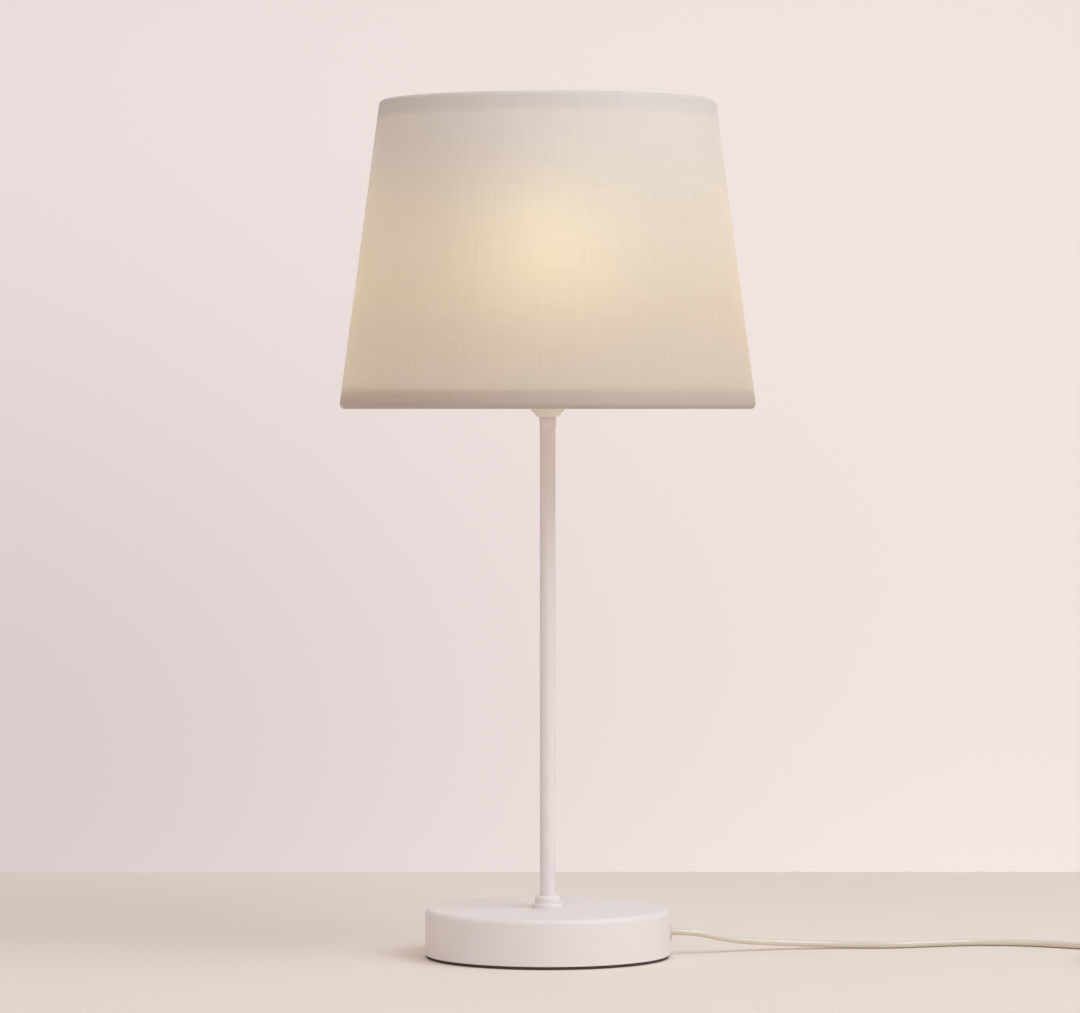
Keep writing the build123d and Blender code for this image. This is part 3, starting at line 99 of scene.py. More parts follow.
# By record slot: name, colour or the property that holds it, roughness, grain in
# millimetres, strength of the grain's relief, and what differs from the usual
PLAIN_FINISHES = {
    "powder_coat": ("Powder-coated steel", "paint", 0.5, 0.9, 0.2, {"drift": 0.015}),
    "cast_weight": ("Raw cast iron", "#4b4a49", 0.75, 1.6, 0.5, {}),
    "plain_steel": ("Zinc-plated steel", "#b9bbbc", 0.38, 1.2, 0.08, {"metallic": 1.0}),
    "foot_foam": ("Brown foam rubber", "foot", 0.9, 0.7, 0.4, {}),
    "bush_plastic": ("Moulded nylon bush", "#d3cac1", 0.4, 0.8, 0.1, {}),
    "core_sheath": ("Core insulation", "#8f7a66", 0.45, 0.8, 0.05, {}),
    "holder_plastic": (
        "Moulded lampholder plastic", "#ebe3d6", 0.42, 1.0, 0.08, {"drift": 0.015},
    ),
    "insert_ceramic": ("Unglazed steatite", "#efeae0", 0.7, 0.6, 0.15, {}),
    "brass_parts": ("Pressed brass", "#c9a458", 0.3, 1.4, 0.05, {"metallic": 1.0}),
    "bulb_cap_metal": (
        "Nickel-plated bulb cap", "#c9c7c2", 0.28, 1.4, 0.05, {"metallic": 1.0},
    ),
    "bulb_glass_black": ("Black insulating glass", "#17171a", 0.12, 1.5, 0.03, {"coat": 0.5}),
    "bulb_plastic": ("White bulb plastic", "#f0ece4", 0.4, 1.0, 0.04, {"drift": 0.01}),
    "bulb_globe_opal": ("Opal lit bulb", "#fff6e6", 0.35, 2.0, 0.02, {}),
    "board_metal": ("White coated light board", "#e8e6e0", 0.5, 1.0, 0.05, {}),
    "chip_phosphor": ("Yellow phosphor", "#f3cf4e", 0.6, 0.6, 0.1, {}),
    "shade_film": ("White shade film", "film", 0.9, 1.5, 0.05, {"drift": 0.02}),
    "shade_wire": ("White painted wire", "#e9e4de", 0.4, 1.0, 0.1, {"drift": 0.02}),
    "switch_plastic": (
        "Moulded switch plastic", "#ece6de", 0.32, 0.9, 0.06, {"drift": 0.01},
    ),
    "plug_plastic": ("Soft moulded PVC", "#e6dfd6", 0.48, 0.8, 0.1, {"drift": 0.02}),
    "pin_metal": ("Nickel-plated pins", "#cfc9bd", 0.25, 1.4, 0.04, {"metallic": 1.0}),
    "sleeve_plastic": ("Black pin sleeve", "#1c1c1d", 0.5, 0.8, 0.05, {}),
    "tie_paper": ("Flat plastic tie", "#dad5cc", 0.55, 0.6, 0.15, {}),
}

# Cloth: the threads' distance, the weave's part beside the thicker threads, which are
# noise stretched one way or the other, and the tones and relief that they give
THREAD_GAP = 0.7 * MM
WEAVE_PART = 0.35
SLUB_SCALES = ((40.0, 1400.0), (1400.0, 40.0))
SLUB_DETAIL = 2.0
THREAD_LEVELS = (0.55, 1.45)
THREAD_TONES = (0.94, 1.04)
WEAVE_RELIEF = 0.3
WEAVE_DEPTH = 0.06 * MM

# The bulb's light in cloth and film: how much they pass straight and how much they spread.
# From the first height to the second the cloth passes less and less of it. That is fitted
# to the picture and isn't a known property of such a cloth.
SHEET_IOR = 1.4
GLOW_HEIGHTS = (0.31, 0.39)
CLOTH_STRAIGHT = (0.3, 0.1)
CLOTH_SPREAD = (0.4, 0.03)
FILM_STRAIGHT = 0.8
FILM_SPREAD = 0.35

# Flex: two cores as darker bands under the sheath, and the waves of its surface
CORE_COLOUR = "#ddd1c2"
CORE_GAP = 2.1 * MM
BAND_EDGE = (-0.7, 0.1)
WAVE_SCALE = 90.0
WAVE_DETAIL = 2.0
WAVE_RELIEF = 0.15
WAVE_DEPTH = 0.3 * MM

# Meshes: what is merged or dropped, and the angles from which an edge is sharp
MERGED = 0.002 * MM
DROPPED = 0.001 * MM
SHARP_ANGLE = 32.0
BEVEL_ANGLE = 30.0
CLOTH_SHARP_ANGLE = 40.0
FLEX_SHARP_ANGLE = 60.0

# Heights in millimetres at which pieces meet
PAD_TOP = 1.4
BASE_TOP = 23.5
STEM_SEAT = 25.0
COUPLER_HEIGHT = 4.8
CAP_HEIGHT = 21.8
BULB_RIM = 322.4


def linear(code):
    """Linear colour with alpha of an sRGB hex code."""
    channels = [int(code[place : place + 2], 16) / 255 for place in (1, 3, 5)]
    return (
        *(c / 12.92 if c <= 0.04045 else ((c + 0.055) / 1.055) ** 2.4 for c in channels),
        1.0,
    )


class TableLampSizes(bpy.types.PropertyGroup):
    """Sizes of the pieces that are made here, as the solids have them."""

    base_radius: bpy.props.FloatProperty(
        name="Base radius",
        description="Radius of the round base",
        default=58.75 * MM,
        unit="LENGTH",
    )
    base_height: bpy.props.FloatProperty(
        name="Base height",
        description="Height of the base's top above the table",
        default=23.5 * MM,
        unit="LENGTH",
    )
    base_edge: bpy.props.FloatProperty(
        name="Base edge",
        description="Radius of the rolled edge round the base's top",
        default=2.8 * MM,
        unit="LENGTH",
    )
    stem_radius: bpy.props.FloatProperty(
        name="Stem radius",
        description="Outer radius of the stem tube",
        default=3.75 * MM,
        unit="LENGTH",
    )
    stem_top: bpy.props.FloatProperty(
        name="Stem top",
        description="Height of the stem's upper end",
        default=254.4 * MM,
        unit="LENGTH",
    )
    holder_radius: bpy.props.FloatProperty(
        name="Lampholder radius",
        description="Outer radius of the lampholder",
        default=13.75 * MM,
        unit="LENGTH",
    )
    globe_radius: bpy.props.FloatProperty(
        name="Bulb radius",
        description="Radius of the bulb's round globe",
        default=22.5 * MM,
        unit="LENGTH",
    )
    shade_bottom_radius: bpy.props.FloatProperty(
        name="Shade bottom radius",
        description="Outer radius of the shade at its lower edge",
        default=100.0 * MM,
        unit="LENGTH",
    )
    shade_top_radius: bpy.props.FloatProperty(
        name="Shade top radius",
        description="Outer radius of the shade at its upper edge",
        default=80.5 * MM,
        unit="LENGTH",
    )
    shade_bottom: bpy.props.FloatProperty(
        name="Shade bottom height",
        description="Height of the shade's lower edge above the table",
        default=263.0 * MM,
        unit="LENGTH",
    )
    shade_height: bpy.props.FloatProperty(
        name="Shade height",
        description="Height of the shade from edge to edge",
        default=147.6 * MM,
        unit="LENGTH",
    )
    flex_width: bpy.props.FloatProperty(
        name="Flex width",
        description="Width of the flat flex",
        default=5.2 * MM,
        unit="LENGTH",
    )
    flex_thickness: bpy.props.FloatProperty(
        name="Flex thickness",
        description="Thickness of the flat flex",
        default=3.3 * MM,
        unit="LENGTH",
    )


class TableLampColours(bpy.types.PropertyGroup):
    """Colours of the lamp's finishes and of its light."""

    paint: bpy.props.FloatVectorProperty(
        name="Paint",
        description="Powder coat of the base and the stem",
        default=linear("#ede3e0"),
        size=4,
        min=0.0,
        max=1.0,
        subtype="COLOR",
    )
    foot: bpy.props.FloatVectorProperty(
        name="Foot pad",
        description="Foam pad under the base",
        default=linear("#4a3c32"),
        size=4,
        min=0.0,
        max=1.0,
        subtype="COLOR",
    )
    fabric: bpy.props.FloatVectorProperty(
        name="Shade fabric",
        description="Cloth on the outside of the shade",
        default=linear("#e6dcd4"),
        size=4,
        min=0.0,
        max=1.0,
        subtype="COLOR",
    )
    film: bpy.props.FloatVectorProperty(
        name="Shade film",
        description="Film that the cloth is laminated on",
        default=linear("#f2eee8"),
        size=4,
        min=0.0,
        max=1.0,
        subtype="COLOR",
    )
    flex: bpy.props.FloatVectorProperty(
        name="Flex",
        description="Clear sheath of the flex",
        default=linear("#f0e8dd"),
        size=4,
        min=0.0,
        max=1.0,
        subtype="COLOR",
    )
    light: bpy.props.FloatVectorProperty(
        name="Bulb light",
        description="Colour of the bulb's warm light",
        default=(1.0, 0.94, 0.5, 1.0),
        size=4,
        min=0.0,
        max=1.0,
        subtype="COLOR",
    )
    light_strength: bpy.props.FloatProperty(
        name="Bulb strength",
        description="How bright the bulb's globe is beside a white wall",
        default=8.4,
        min=0.0,
    )


def set_inputs(tree, node, inputs):
    """Set or link a node's inputs."""
    for key, value in inputs.items():
        if isinstance(value, bpy.types.NodeSocket):
            tree.links.new(value, node.inputs[key])
        else:
            node.inputs[key].default_value = value


def add_node(tree, kind, inputs, **settings):
    """Add a shader node with its settings, and set or link its inputs."""
    node = tree.nodes.new("ShaderNode" + kind)
    for name, value in settings.items():
        setattr(node, name, value)
    set_inputs(tree, node, inputs)
    return node


def computed(tree, operation, *values):
    """Result of a calculation with values or sockets."""
    return add_node(tree, "Math", dict(enumerate(values)), operation=operation).outputs[0]


def remapped(tree, value, source=(0.0, 1.0), target=(0.0, 1.0), interpolation="LINEAR"):
    """A value carried from one range to another."""
    inputs = {
        "Value": value,
        "From Min": source[0],
        "From Max": source[1],
        "To Min": target[0],
        "To Max": target[1],
    }
    node = add_node(tree, "MapRange", inputs, interpolation_type=interpolation)
    return node.outputs["Result"]


def mixed(tree, share, first, second, blend="MIX"):
    """Mix of two colours."""
    inputs = {0: share, 6: first, 7: second}
    return add_node(tree, "Mix", inputs, data_type="RGBA", blend_type=blend).outputs[2]


def noise(tree, place, scale, detail):
    """Noise of so many lumps per unit of the place."""
    inputs = {"Vector": place, "Scale": scale, "Detail": detail}
    return add_node(tree, "TexNoise", inputs).outputs["Fac"]


def relief(tree, height, strength, depth):
    """Normal of a surface with a small relief."""
    inputs = {"Strength": strength, "Distance": depth, "Height": height}
    return add_node(tree, "Bump", inputs).outputs["Normal"]


def object_place(tree):
    """Place on the object, in metres."""
    return add_node(tree, "TexCoord", {}).outputs["Object"]


def uv_place(tree, layer):
    """Place on the unrolled sheet or flex, in metres."""
    return add_node(tree, "UVMap", {}, uv_map=layer).outputs["UV"]


def axes(tree, place):
    """Separate values of a place."""
    return add_node(tree, "SeparateXYZ", {"Vector": place}).outputs


def start_material(name):
    """New material with its node tree and its shader."""
    material = bpy.data.materials.new(name)
    material.use_nodes = True
    return material, *shader_of(material)


def shader_of(material):
    """Node tree and shader of a material."""
    return material.node_tree, material.node_tree.nodes["Principled BSDF"]


def plain_finish(name, colour, roughness, grain, bump, metallic=0.0, drift=0.04, coat=0.0):
    """Material of one colour with a slow drift and a fine grain of a real size."""
    material, tree, shader = start_material(name)
    place = object_place(tree)
    slow = noise(tree, place, DRIFT_SCALE, DRIFT_DETAIL)
    fine = noise(tree, place, 1 / grain, GRAIN_DETAIL)
    tone = remapped(tree, slow, target=(1 - drift, 1 + drift))
    gloss = (roughness * (1 - GLOSS_SPREAD), min(1.0, roughness * (1 + GLOSS_SPREAD)))
    set_inputs(
        tree,
        shader,
        {
            "Base Color": mixed(tree, 1.0, colour, tone, "MULTIPLY"),
            "Roughness": remapped(tree, fine, target=gloss),
            "Metallic": metallic,
            "Coat Weight": coat,
            "Normal": relief(tree, fine, bump, grain * GRAIN_DEPTH),
        },
    )
    return material


def light_globe(material, colours):
    """Opal plastic of a lit bulb: milky, and bright all over."""
    glow = {
        "Emission Color": tuple(colours.light),
        "Emission Strength": colours.light_strength,
    }
    set_inputs(*shader_of(material), glow)


def spread_light(material, share, inputs):
    """Let a share of the light that meets a thin sheet come out of it to all sides."""
    tree, shader = shader_of(material)
    through = add_node(tree, "BsdfTranslucent", inputs)
    both = add_node(tree, "MixShader", {0: share, 1: shader.outputs[0], 2: through.outputs[0]})
    set_inputs(tree, tree.nodes["Material Output"], {"Surface": both.outputs[0]})


def light_film(material, colours):
    """White styrene film inside the shade: matt, and it passes most of the light."""
    passed = {"Transmission Weight": FILM_STRAIGHT, "IOR": SHEET_IOR}
    set_inputs(*shader_of(material), passed)
    spread_light(material, FILM_SPREAD, {"Color": tuple(colours.film)})


def shade_fabric(colours):
    """Plain woven cloth laminated on film: threads both ways, a few of them thicker.

    The real threads are about 0.4 mm apart; they are drawn 0.7 mm apart to show.
    """
    material, tree, shader = start_material("Laminated plain weave")
    cloth = uv_place(tree, "Cloth")
    spread = axes(tree, cloth)
    waves = [
        computed(
            tree, "SINE", computed(tree, "MULTIPLY", spread[axis], 2 * math.pi / THREAD_GAP)
        )
        for axis in ("X", "Y")
    ]
    weave = computed(tree, "MULTIPLY", *waves)
    slubs = []
    for along, across in SLUB_SCALES:
        inputs = {"Vector": cloth, "Scale": (along, across, 1.0)}
        squeezed = add_node(tree, "Mapping", inputs).outputs[0]
        slubs.append(noise(tree, squeezed, 1.0, SLUB_DETAIL))
    slub = computed(tree, "ADD", *slubs)
    threads = computed(tree, "MULTIPLY_ADD", weave, WEAVE_PART, slub)
    tone = remapped(tree, threads, THREAD_LEVELS, THREAD_TONES)
    colour = mixed(tree, 1.0, tuple(colours.fabric), tone, "MULTIPLY")
    normal = relief(tree, threads, WEAVE_RELIEF, WEAVE_DEPTH)
    height = axes(tree, object_place(tree))["Z"]
    set_inputs(
        tree,
        shader,
        {
            "Base Color": colour,
            "Roughness": 1.0,
            "IOR": SHEET_IOR,
            "Transmission Weight": remapped(tree, height, GLOW_HEIGHTS, CLOTH_STRAIGHT),
            "Normal": normal,
        },
    )
    share = remapped(tree, height, GLOW_HEIGHTS, CLOTH_SPREAD)
    spread_light(material, share, {"Color": colour, "Normal": normal})
    return material


def clear_flex(colours):
    """Clear soft PVC over two cores: a wet gloss, with the cores as two faint bands."""
    material, tree, shader = start_material("Clear PVC flex")
    across = axes(tree, uv_place(tree, "Flex"))["Y"]
    turn = computed(tree, "MULTIPLY", across, 2 * math.pi / CORE_GAP)
    band = computed(tree, "COSINE", turn)
    core = remapped(tree, band, BAND_EDGE, interpolation="SMOOTHSTEP")
    waves = noise(tree, object_place(tree), WAVE_SCALE, WAVE_DETAIL)
    set_inputs(
        tree,
        shader,
        {
            "Base Color": mixed(tree, core, tuple(colours.flex), linear(CORE_COLOUR)),
            "Roughness": 0.22,
            "IOR": 1.52,
            "Subsurface Weight": 0.25,
            "Subsurface Radius": (1.0, 0.8, 0.6),
            "Subsurface Scale": 2 * MM,
            "Coat Weight": 0.6,
            "Coat Roughness": 0.08,
            "Normal": relief(tree, waves, WAVE_RELIEF, WAVE_DEPTH),
        },
    )
    return material


def finishes(colours):
    """Every material of the lamp by its record slot."""
    made = {}
    for slot, (name, colour, roughness, grain, bump, extra) in PLAIN_FINISHES.items():
        tone = linear(colour) if colour.startswith("#") else tuple(getattr(colours, colour))
        made[slot] = plain_finish(name, tone, roughness, grain * MM, bump, **extra)
    light_globe(made["bulb_globe_opal"], colours)
    light_film(made["shade_film"], colours)
    made["flex_sheath"] = clear_flex(colours)
    made["shade_fabric"] = shade_fabric(colours)
    return made


def material_for(slot):
    """The made material of a record slot."""
    return bpy.data.materials[bpy.context.scene["lamp_materials"][slot]]


def finish_mesh(bm, name, slots, sharp_angle=SHARP_ANGLE):
    """Object of a finished bmesh, smooth but for its sharp edges."""
    bmesh.ops.recalc_face_normals(bm, faces=bm.faces)
    mesh = bpy.data.meshes.new(name)
    bm.to_mesh(mesh)
    bm.free()
    mesh.shade_smooth()
    mesh.set_sharp_from_angle(angle=math.radians(sharp_angle))
    piece = bpy.data.objects.new(name, mesh)
    bpy.context.scene.collection.objects.link(piece)
    for slot in slots:
        mesh.materials.append(material_for(slot))
    return piece


def placed(piece, body, nodes):
    """Let a piece ride on a body and stand for its nodes."""
    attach(piece, body)
    if nodes:
        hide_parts(*nodes)
    return piece


def spun(outline, steps):
    """Mesh turned from a closed outline of radii and heights in millimetres."""
    bm = bmesh.new()
    corners = [bm.verts.new((radius * MM, 0.0, height * MM)) for radius, height in outline]
    for start, end in zip(corners, corners[1:] + corners[:1]):
        bm.edges.new((start, end))
    bmesh.ops.spin(
        bm,
        geom=bm.verts[:] + bm.edges[:],
        cent=(0, 0, 0),
        axis=(0, 0, 1),
        dvec=(0, 0, 0),
        angle=2 * math.pi,
        steps=steps,
        use_merge=True,
        use_normal_flip=False,
        use_duplicate=False,
    )
    bmesh.ops.remove_doubles(bm, verts=bm.verts, dist=MERGED)
    return bm


def turned(name, outline, body, slot, node, steps, edge=0.0):
    """Piece turned from an outline, its edges broken if asked, that stands for a node."""
    bm = spun(outline, steps)
    bmesh.ops.dissolve_degenerate(bm, dist=DROPPED, edges=bm.edges)
    bmesh.ops.recalc_face_normals(bm, faces=bm.faces)
    if edge:
        sharp = [
            e
            for e in bm.edges
            if len(e.link_faces) == 2 and e.calc_face_angle() > math.radians(BEVEL_ANGLE)
        ]
        bmesh.ops.bevel(
            bm,
            geom=sharp,
            offset=edge * MM,
            offset_type="OFFSET",
            segments=2,
            profile=0.5,
            affect="EDGES",
            clamp_overlap=True,
            material=-1,
        )
    return placed(finish_mesh(bm, name, [slot]), body, [node])


def arc(centre, radius, start, end, count):
    """Points of an arc in an outline, angles in degrees."""
    points = []
    for index in range(count + 1):
        angle = math.radians(start + (end - start) * index / count)
        points.append(
            (centre[0] + radius * math.cos(angle), centre[1] + radius * math.sin(angle))
        )
    return points


def thread_side(high, low, bottom, top, pitch):
    """Crests and roots of a rolled thread, from bottom to top."""
    count = int((top - bottom) / (pitch / 2))
    step = (top - bottom) / count
    return [(high if i % 2 else low, bottom + i * step) for i in range(count + 1)]


def add_camera(scene):
    """Camera at the picture's place, distance and lens."""
    camera = bpy.data.cameras.new("Camera")
    camera.sensor_width = SENSOR_WIDTH
    camera.lens = SENSOR_WIDTH * FOCAL_PIXELS / PICTURE_WIDTH
    camera.clip_start = NEAREST
    camera.clip_end = FARTHEST
    eye = bpy.data.objects.new("Camera", camera)
    eye.location = EYE
    eye.rotation_euler = (
        math.radians(90) - math.atan(HORIZON_PIXELS / FOCAL_PIXELS),
        0.0,
        math.atan(STEM_PIXELS / FOCAL_PIXELS),
    )
    scene.collection.objects.link(eye)
    scene.camera = eye


def paint_wall_shading(material):
    """Paint light and shade on the wall: a slow change of tone from left to right and from low to
    high, darker low on the left.
    """
    tree, shader = shader_of(material)
    spread = axes(tree, object_place(tree))
    sides, heights = (
        remapped(tree, spread[axis], span, interpolation="SMOOTHSTEP")
        for axis, span in WALL_SHADING_SPANS
    )
    rows = [
        mixed(tree, sides, linear(left), linear(right)) for left, right in (WALL_LOW_PAINTED_SHADE, WALL_HIGH_PAINTED_LIGHT)
    ]
    set_inputs(tree, shader, {"Base Color": mixed(tree, heights, *rows)})


def add_slab(scene, name, size, middle, colour):
    """Flat slab of the stage with its finish."""
    bm = bmesh.new()
    bmesh.ops.create_cube(bm, size=1.0)
    bmesh.ops.scale(bm, verts=bm.verts, vec=size)
    bmesh.ops.translate(bm, verts=bm.verts, vec=middle)
    mesh = bpy.data.meshes.new(name)
    bm.to_mesh(mesh)
    bm.free()
    slab = bpy.data.objects.new(name, mesh)
    scene.collection.objects.link(slab)
    material = plain_finish(
        name, linear(colour), roughness=0.6, grain=3 * MM, bump=0.02, drift=0.01
    )
    # The wall gets painted shade low on the left and painted light high on the right
    if name == "Wall":
        paint_wall_shading(material)
    mesh.materials.append(material)


def add_light(scene, name, place, aim, side, power, tint):
    """Square light that looks at its aim."""
    light = bpy.data.lights.new(name, "AREA")
    light.shape = "SQUARE"
    light.size = side
    light.energy = power
    light.color = tint
    lamp = bpy.data.objects.new(name, light)
    lamp.location = place
    towards = Vector(aim) - Vector(place)
    lamp.rotation_euler = towards.to_track_quat("-Z", "Y").to_euler()
    scene.collection.objects.link(lamp)


class TABLELAMP_OT_stage(bpy.types.Operator):
    """Camera, floor, backdrop, lights and world"""

    bl_idname = "table_lamp.stage"
    bl_label = "Stage"

    def execute(self, context):
        scene = context.scene
        add_camera(scene)
        for slab in SLABS:
            add_slab(scene, *slab)
        for light in LIGHTS:
            add_light(scene, *light)
        world = bpy.data.worlds.new("Room")
        world.use_nodes = True
        room = {"Color": ROOM_COLOUR, "Strength": ROOM_STRENGTH}
        set_inputs(world.node_tree, world.node_tree.nodes["Background"], room)
        scene.world = world
        scene.view_settings.view_transform = "Standard"
        scene["lamp_materials"] = {
            slot: material.name for slot, material in finishes(scene.table_lamp_colours).items()
        }
        return {"FINISHED"}


# Places along the flex in millimetres: base to switch, switch to coil, coil to plug
LAMP_ROUTE = (
    (59.266, 8.329, 11.0),
    (70.4, 9.9, 11.0),
    (81.8, 14.9, 7.8),
    (93.0, 21.5, 5.4),
    (108.0, 29.0, 3.9),
    (125.5, 35.0, 2.7),
    (146.0, 38.0, 1.75),
    (167.0, 36.5, 1.75),
    (187.0, 44.0, 1.75),
    (208.0, 50.0, 1.75),
    (231.0, 48.5, 1.75),
    (250.0, 40.0, 1.75),
    (264.0, 31.0, 1.75),
    (274.0, 21.0, 2.3),
    (279.0, 10.0, 4.6),
    (281.0, 0.0, 7.0),
    (281.0, -10.0, 7.0),
)
LEAD_ROUTE = (
    (281.0, -62.0, 7.0),
    (281.0, -71.0, 7.0),
    (281.0, -87.5, 2.65),
    (281.0, -97.0, 2.65),
)
TAIL_ROUTE = (
    (366.5, -97.0, 6.55),
    (366.5, -85.4, 6.55),
    (361.9, -74.4, 6.6),
    (353.5, -66.0, 6.75),
    (349.0, -55.0, 6.85),
    (349.0, -43.4, 6.85),
)
# Coil: where the flex meets it, its outer radius, the radius lost in a quarter turn, the
# quarter turns and height of a layer, the rise to the upper one, the places in a quarter
# turn, and how far outside the wound line they stand
COIL_START = (281.0, -103.0)
COIL_OUTER = 41.3
COIL_STEP = 5.8 / 4
COIL_QUARTERS = 14
COIL_LOW = 2.65
COIL_RISE = 3.9
COIL_PLACES = 4
COIL_OUTWARDS = 1 / 0.981


def coil_route():
    """Places round the coil: in on the lower layer, up, and out on the upper one.

    Each quarter turn has its own centre and radius, as in the wound flex. The line cuts
    inside its places, so they stand a little further out.
    """
    places = []

    def quarter(centre, angle, radius, low, high):
        out = COIL_OUTWARDS * radius
        for index in range(COIL_PLACES):
            along = (index + 0.5) / COIL_PLACES
            turn = angle + math.pi / 2 * along
            places.append(
                (
                    centre[0] + out * math.cos(turn),
                    centre[1] + out * math.sin(turn),
                    COIL_LOW + COIL_RISE * (low + (high - low) * along),
                )
            )
        return angle + math.pi / 2

    angle, radius = math.pi, COIL_OUTER
    centre = Vector(COIL_START) + Vector((radius, 0.0))
    for _ in range(COIL_QUARTERS):
        angle = quarter(centre, angle, radius, 0.0, 0.0)
        centre = centre + COIL_STEP * Vector((math.cos(angle), math.sin(angle)))
        radius = radius - COIL_STEP
    for low, high in ((0.0, 0.5), (0.5, 1.0)):
        angle = quarter(centre, angle, radius, low, high)
    for _ in range(COIL_QUARTERS):
        centre = centre - COIL_STEP * Vector((math.cos(angle), math.sin(angle)))
        radius = radius + COIL_STEP
        angle = quarter(centre, angle, radius, 1.0, 1.0)
    return tuple(places)


def flex_section(sizes):
    """Flat outline of the flex: two half rounds and the flats between them."""
    half = sizes.flex_thickness / 2
    offset = (sizes.flex_width - sizes.flex_thickness) / 2
    places = [
        *arc((offset, 0.0), half, -90, 90, count=8),
        *arc((-offset, 0.0), half, 90, 270, count=8),
    ]
    outline = bpy.data.curves.new("flex_section", "CURVE")
    outline.dimensions = "2D"
    ring = outline.splines.new("POLY")
    ring.points.add(len(places) - 1)
    for point, (x, y) in zip(ring.points, places):
        point.co = (x, y, 0.0, 1.0)
    ring.use_cyclic_u = True
    section = bpy.data.objects.new("flex_section", outline)
    bpy.context.scene.collection.objects.link(section)
    return section


def flex_tube(name, route, section):
    """Tube of the flat flex along a smooth line, and the points that it follows."""
    curve = bpy.data.curves.new(name + "_line", "CURVE")
    curve.dimensions = "3D"
    curve.twist_mode = "Z_UP"
    curve.resolution_u = 6
    spline = curve.splines.new("NURBS")
    spline.points.add(len(route) - 1)
    for point, place in zip(spline.points, route):
        point.co = (*(Vector(place) * MM), 1.0)
    spline.order_u = 3
    spline.use_endpoint_u = True
    line = bpy.data.objects.new(name + "_line", curve)
    bpy.context.scene.collection.objects.link(line)
    followed = bpy.data.meshes.new_from_object(line)
    path = [tuple(vertex.co) for vertex in followed.vertices]
    curve.bevel_mode = "OBJECT"
    curve.bevel_object = section
    curve.use_fill_caps = True
    ready = bpy.context.evaluated_depsgraph_get()
    mesh = bpy.data.meshes.new_from_object(line.evaluated_get(ready))
    bpy.data.objects.remove(line)
    bpy.data.meshes.remove(followed)
    bm = bmesh.new()
    bm.from_mesh(mesh)
    bmesh.ops.remove_doubles(bm, verts=bm.verts, dist=DROPPED)
    bpy.data.meshes.remove(mesh)
    return bm, path


def lay_flex_uv(bm, path):
    """UV map of a flex: metres along it, and metres to the side of its middle."""
    layer = bm.loops.layers.uv.new("Flex")
    points = [Vector(place) for place in path]
    lengths = [0.0]
    for start, end in zip(points, points[1:]):
        lengths.append(lengths[-1] + (end - start).length)
    tree = KDTree(len(points))
    for index, point in enumerate(points):
        tree.insert(point, index)
    tree.balance()
    for face in bm.faces:
        for loop in face.loops:
            _, index, _ = tree.find(loop.vert.co)
            ahead = points[min(index + 1, len(points) - 1)] - points[max(index - 1, 0)]
            side = Vector((-ahead.y, ahead.x, 0.0)).normalized()
            across = (loop.vert.co - points[index]).dot(side)
            loop[layer].uv = (lengths[index], across)


def laid_flex(name, route, section, nodes):
    """Finished run of flex that rides on the lamp, and the places that it follows."""
    bm, path = flex_tube(name, route, section)
    lay_flex_uv(bm, path)
    piece = finish_mesh(bm, name, ["flex_sheath"], FLEX_SHARP_ANGLE)
    return placed(piece, "lamp", nodes), path


class TABLELAMP_OT_flex(bpy.types.Operator):
    """Clear flat flex: from the base to the switch, and from there by its coil to the plug"""

    bl_idname = "table_lamp.flex"
    bl_label = "Flex"

    def execute(self, context):
        sizes = context.scene.table_lamp_sizes
        section = flex_section(sizes)
        first, path = laid_flex("flex_to_switch", LAMP_ROUTE, section, ["cord_to_switch"])

        second, path = laid_flex(
            "flex_to_plug",
            LEAD_ROUTE + coil_route() + TAIL_ROUTE,
            section,
            ["cord_to_coil", "cord_coil", "cord_to_plug"],
        )
        bpy.data.objects.remove(section)
        return {"FINISHED"}


class TABLELAMP_OT_base(bpy.types.Operator):
    """Pressed base with its rolled edge, and the foam pad under it"""

    bl_idname = "table_lamp.base"
    bl_label = "Base"

    def execute(self, context):
        sizes = context.scene.table_lamp_sizes
        radius = sizes.base_radius / MM
        top = sizes.base_height / MM
        edge = sizes.base_edge / MM
        wall = 1.2
        hole = 4.15
        outline = [
            (hole, top),
            *arc((radius - edge, top - edge), edge, 90, 0, count=10),
            (radius, PAD_TOP),
            (radius - wall, PAD_TOP),
            *arc((radius - edge, top - edge), edge - wall, 0, 90, count=6),
            (hole, top - wall),
        ]
        turned("base_cover", outline, "lamp", "powder_coat", "base_shell", steps=160)
        pad_radius = 58.35
        bevel = 0.3
        inset = 0.2
        pad = [
            (0, 0),
            (pad_radius - bevel, 0),
            (pad_radius, bevel),
            (pad_radius, PAD_TOP - bevel),
            (pad_radius - inset, PAD_TOP),
            (0, PAD_TOP),
        ]
        turned("foam_pad", pad, "lamp", "foot_foam", "foot_pad", steps=160)
        return {"FINISHED"}


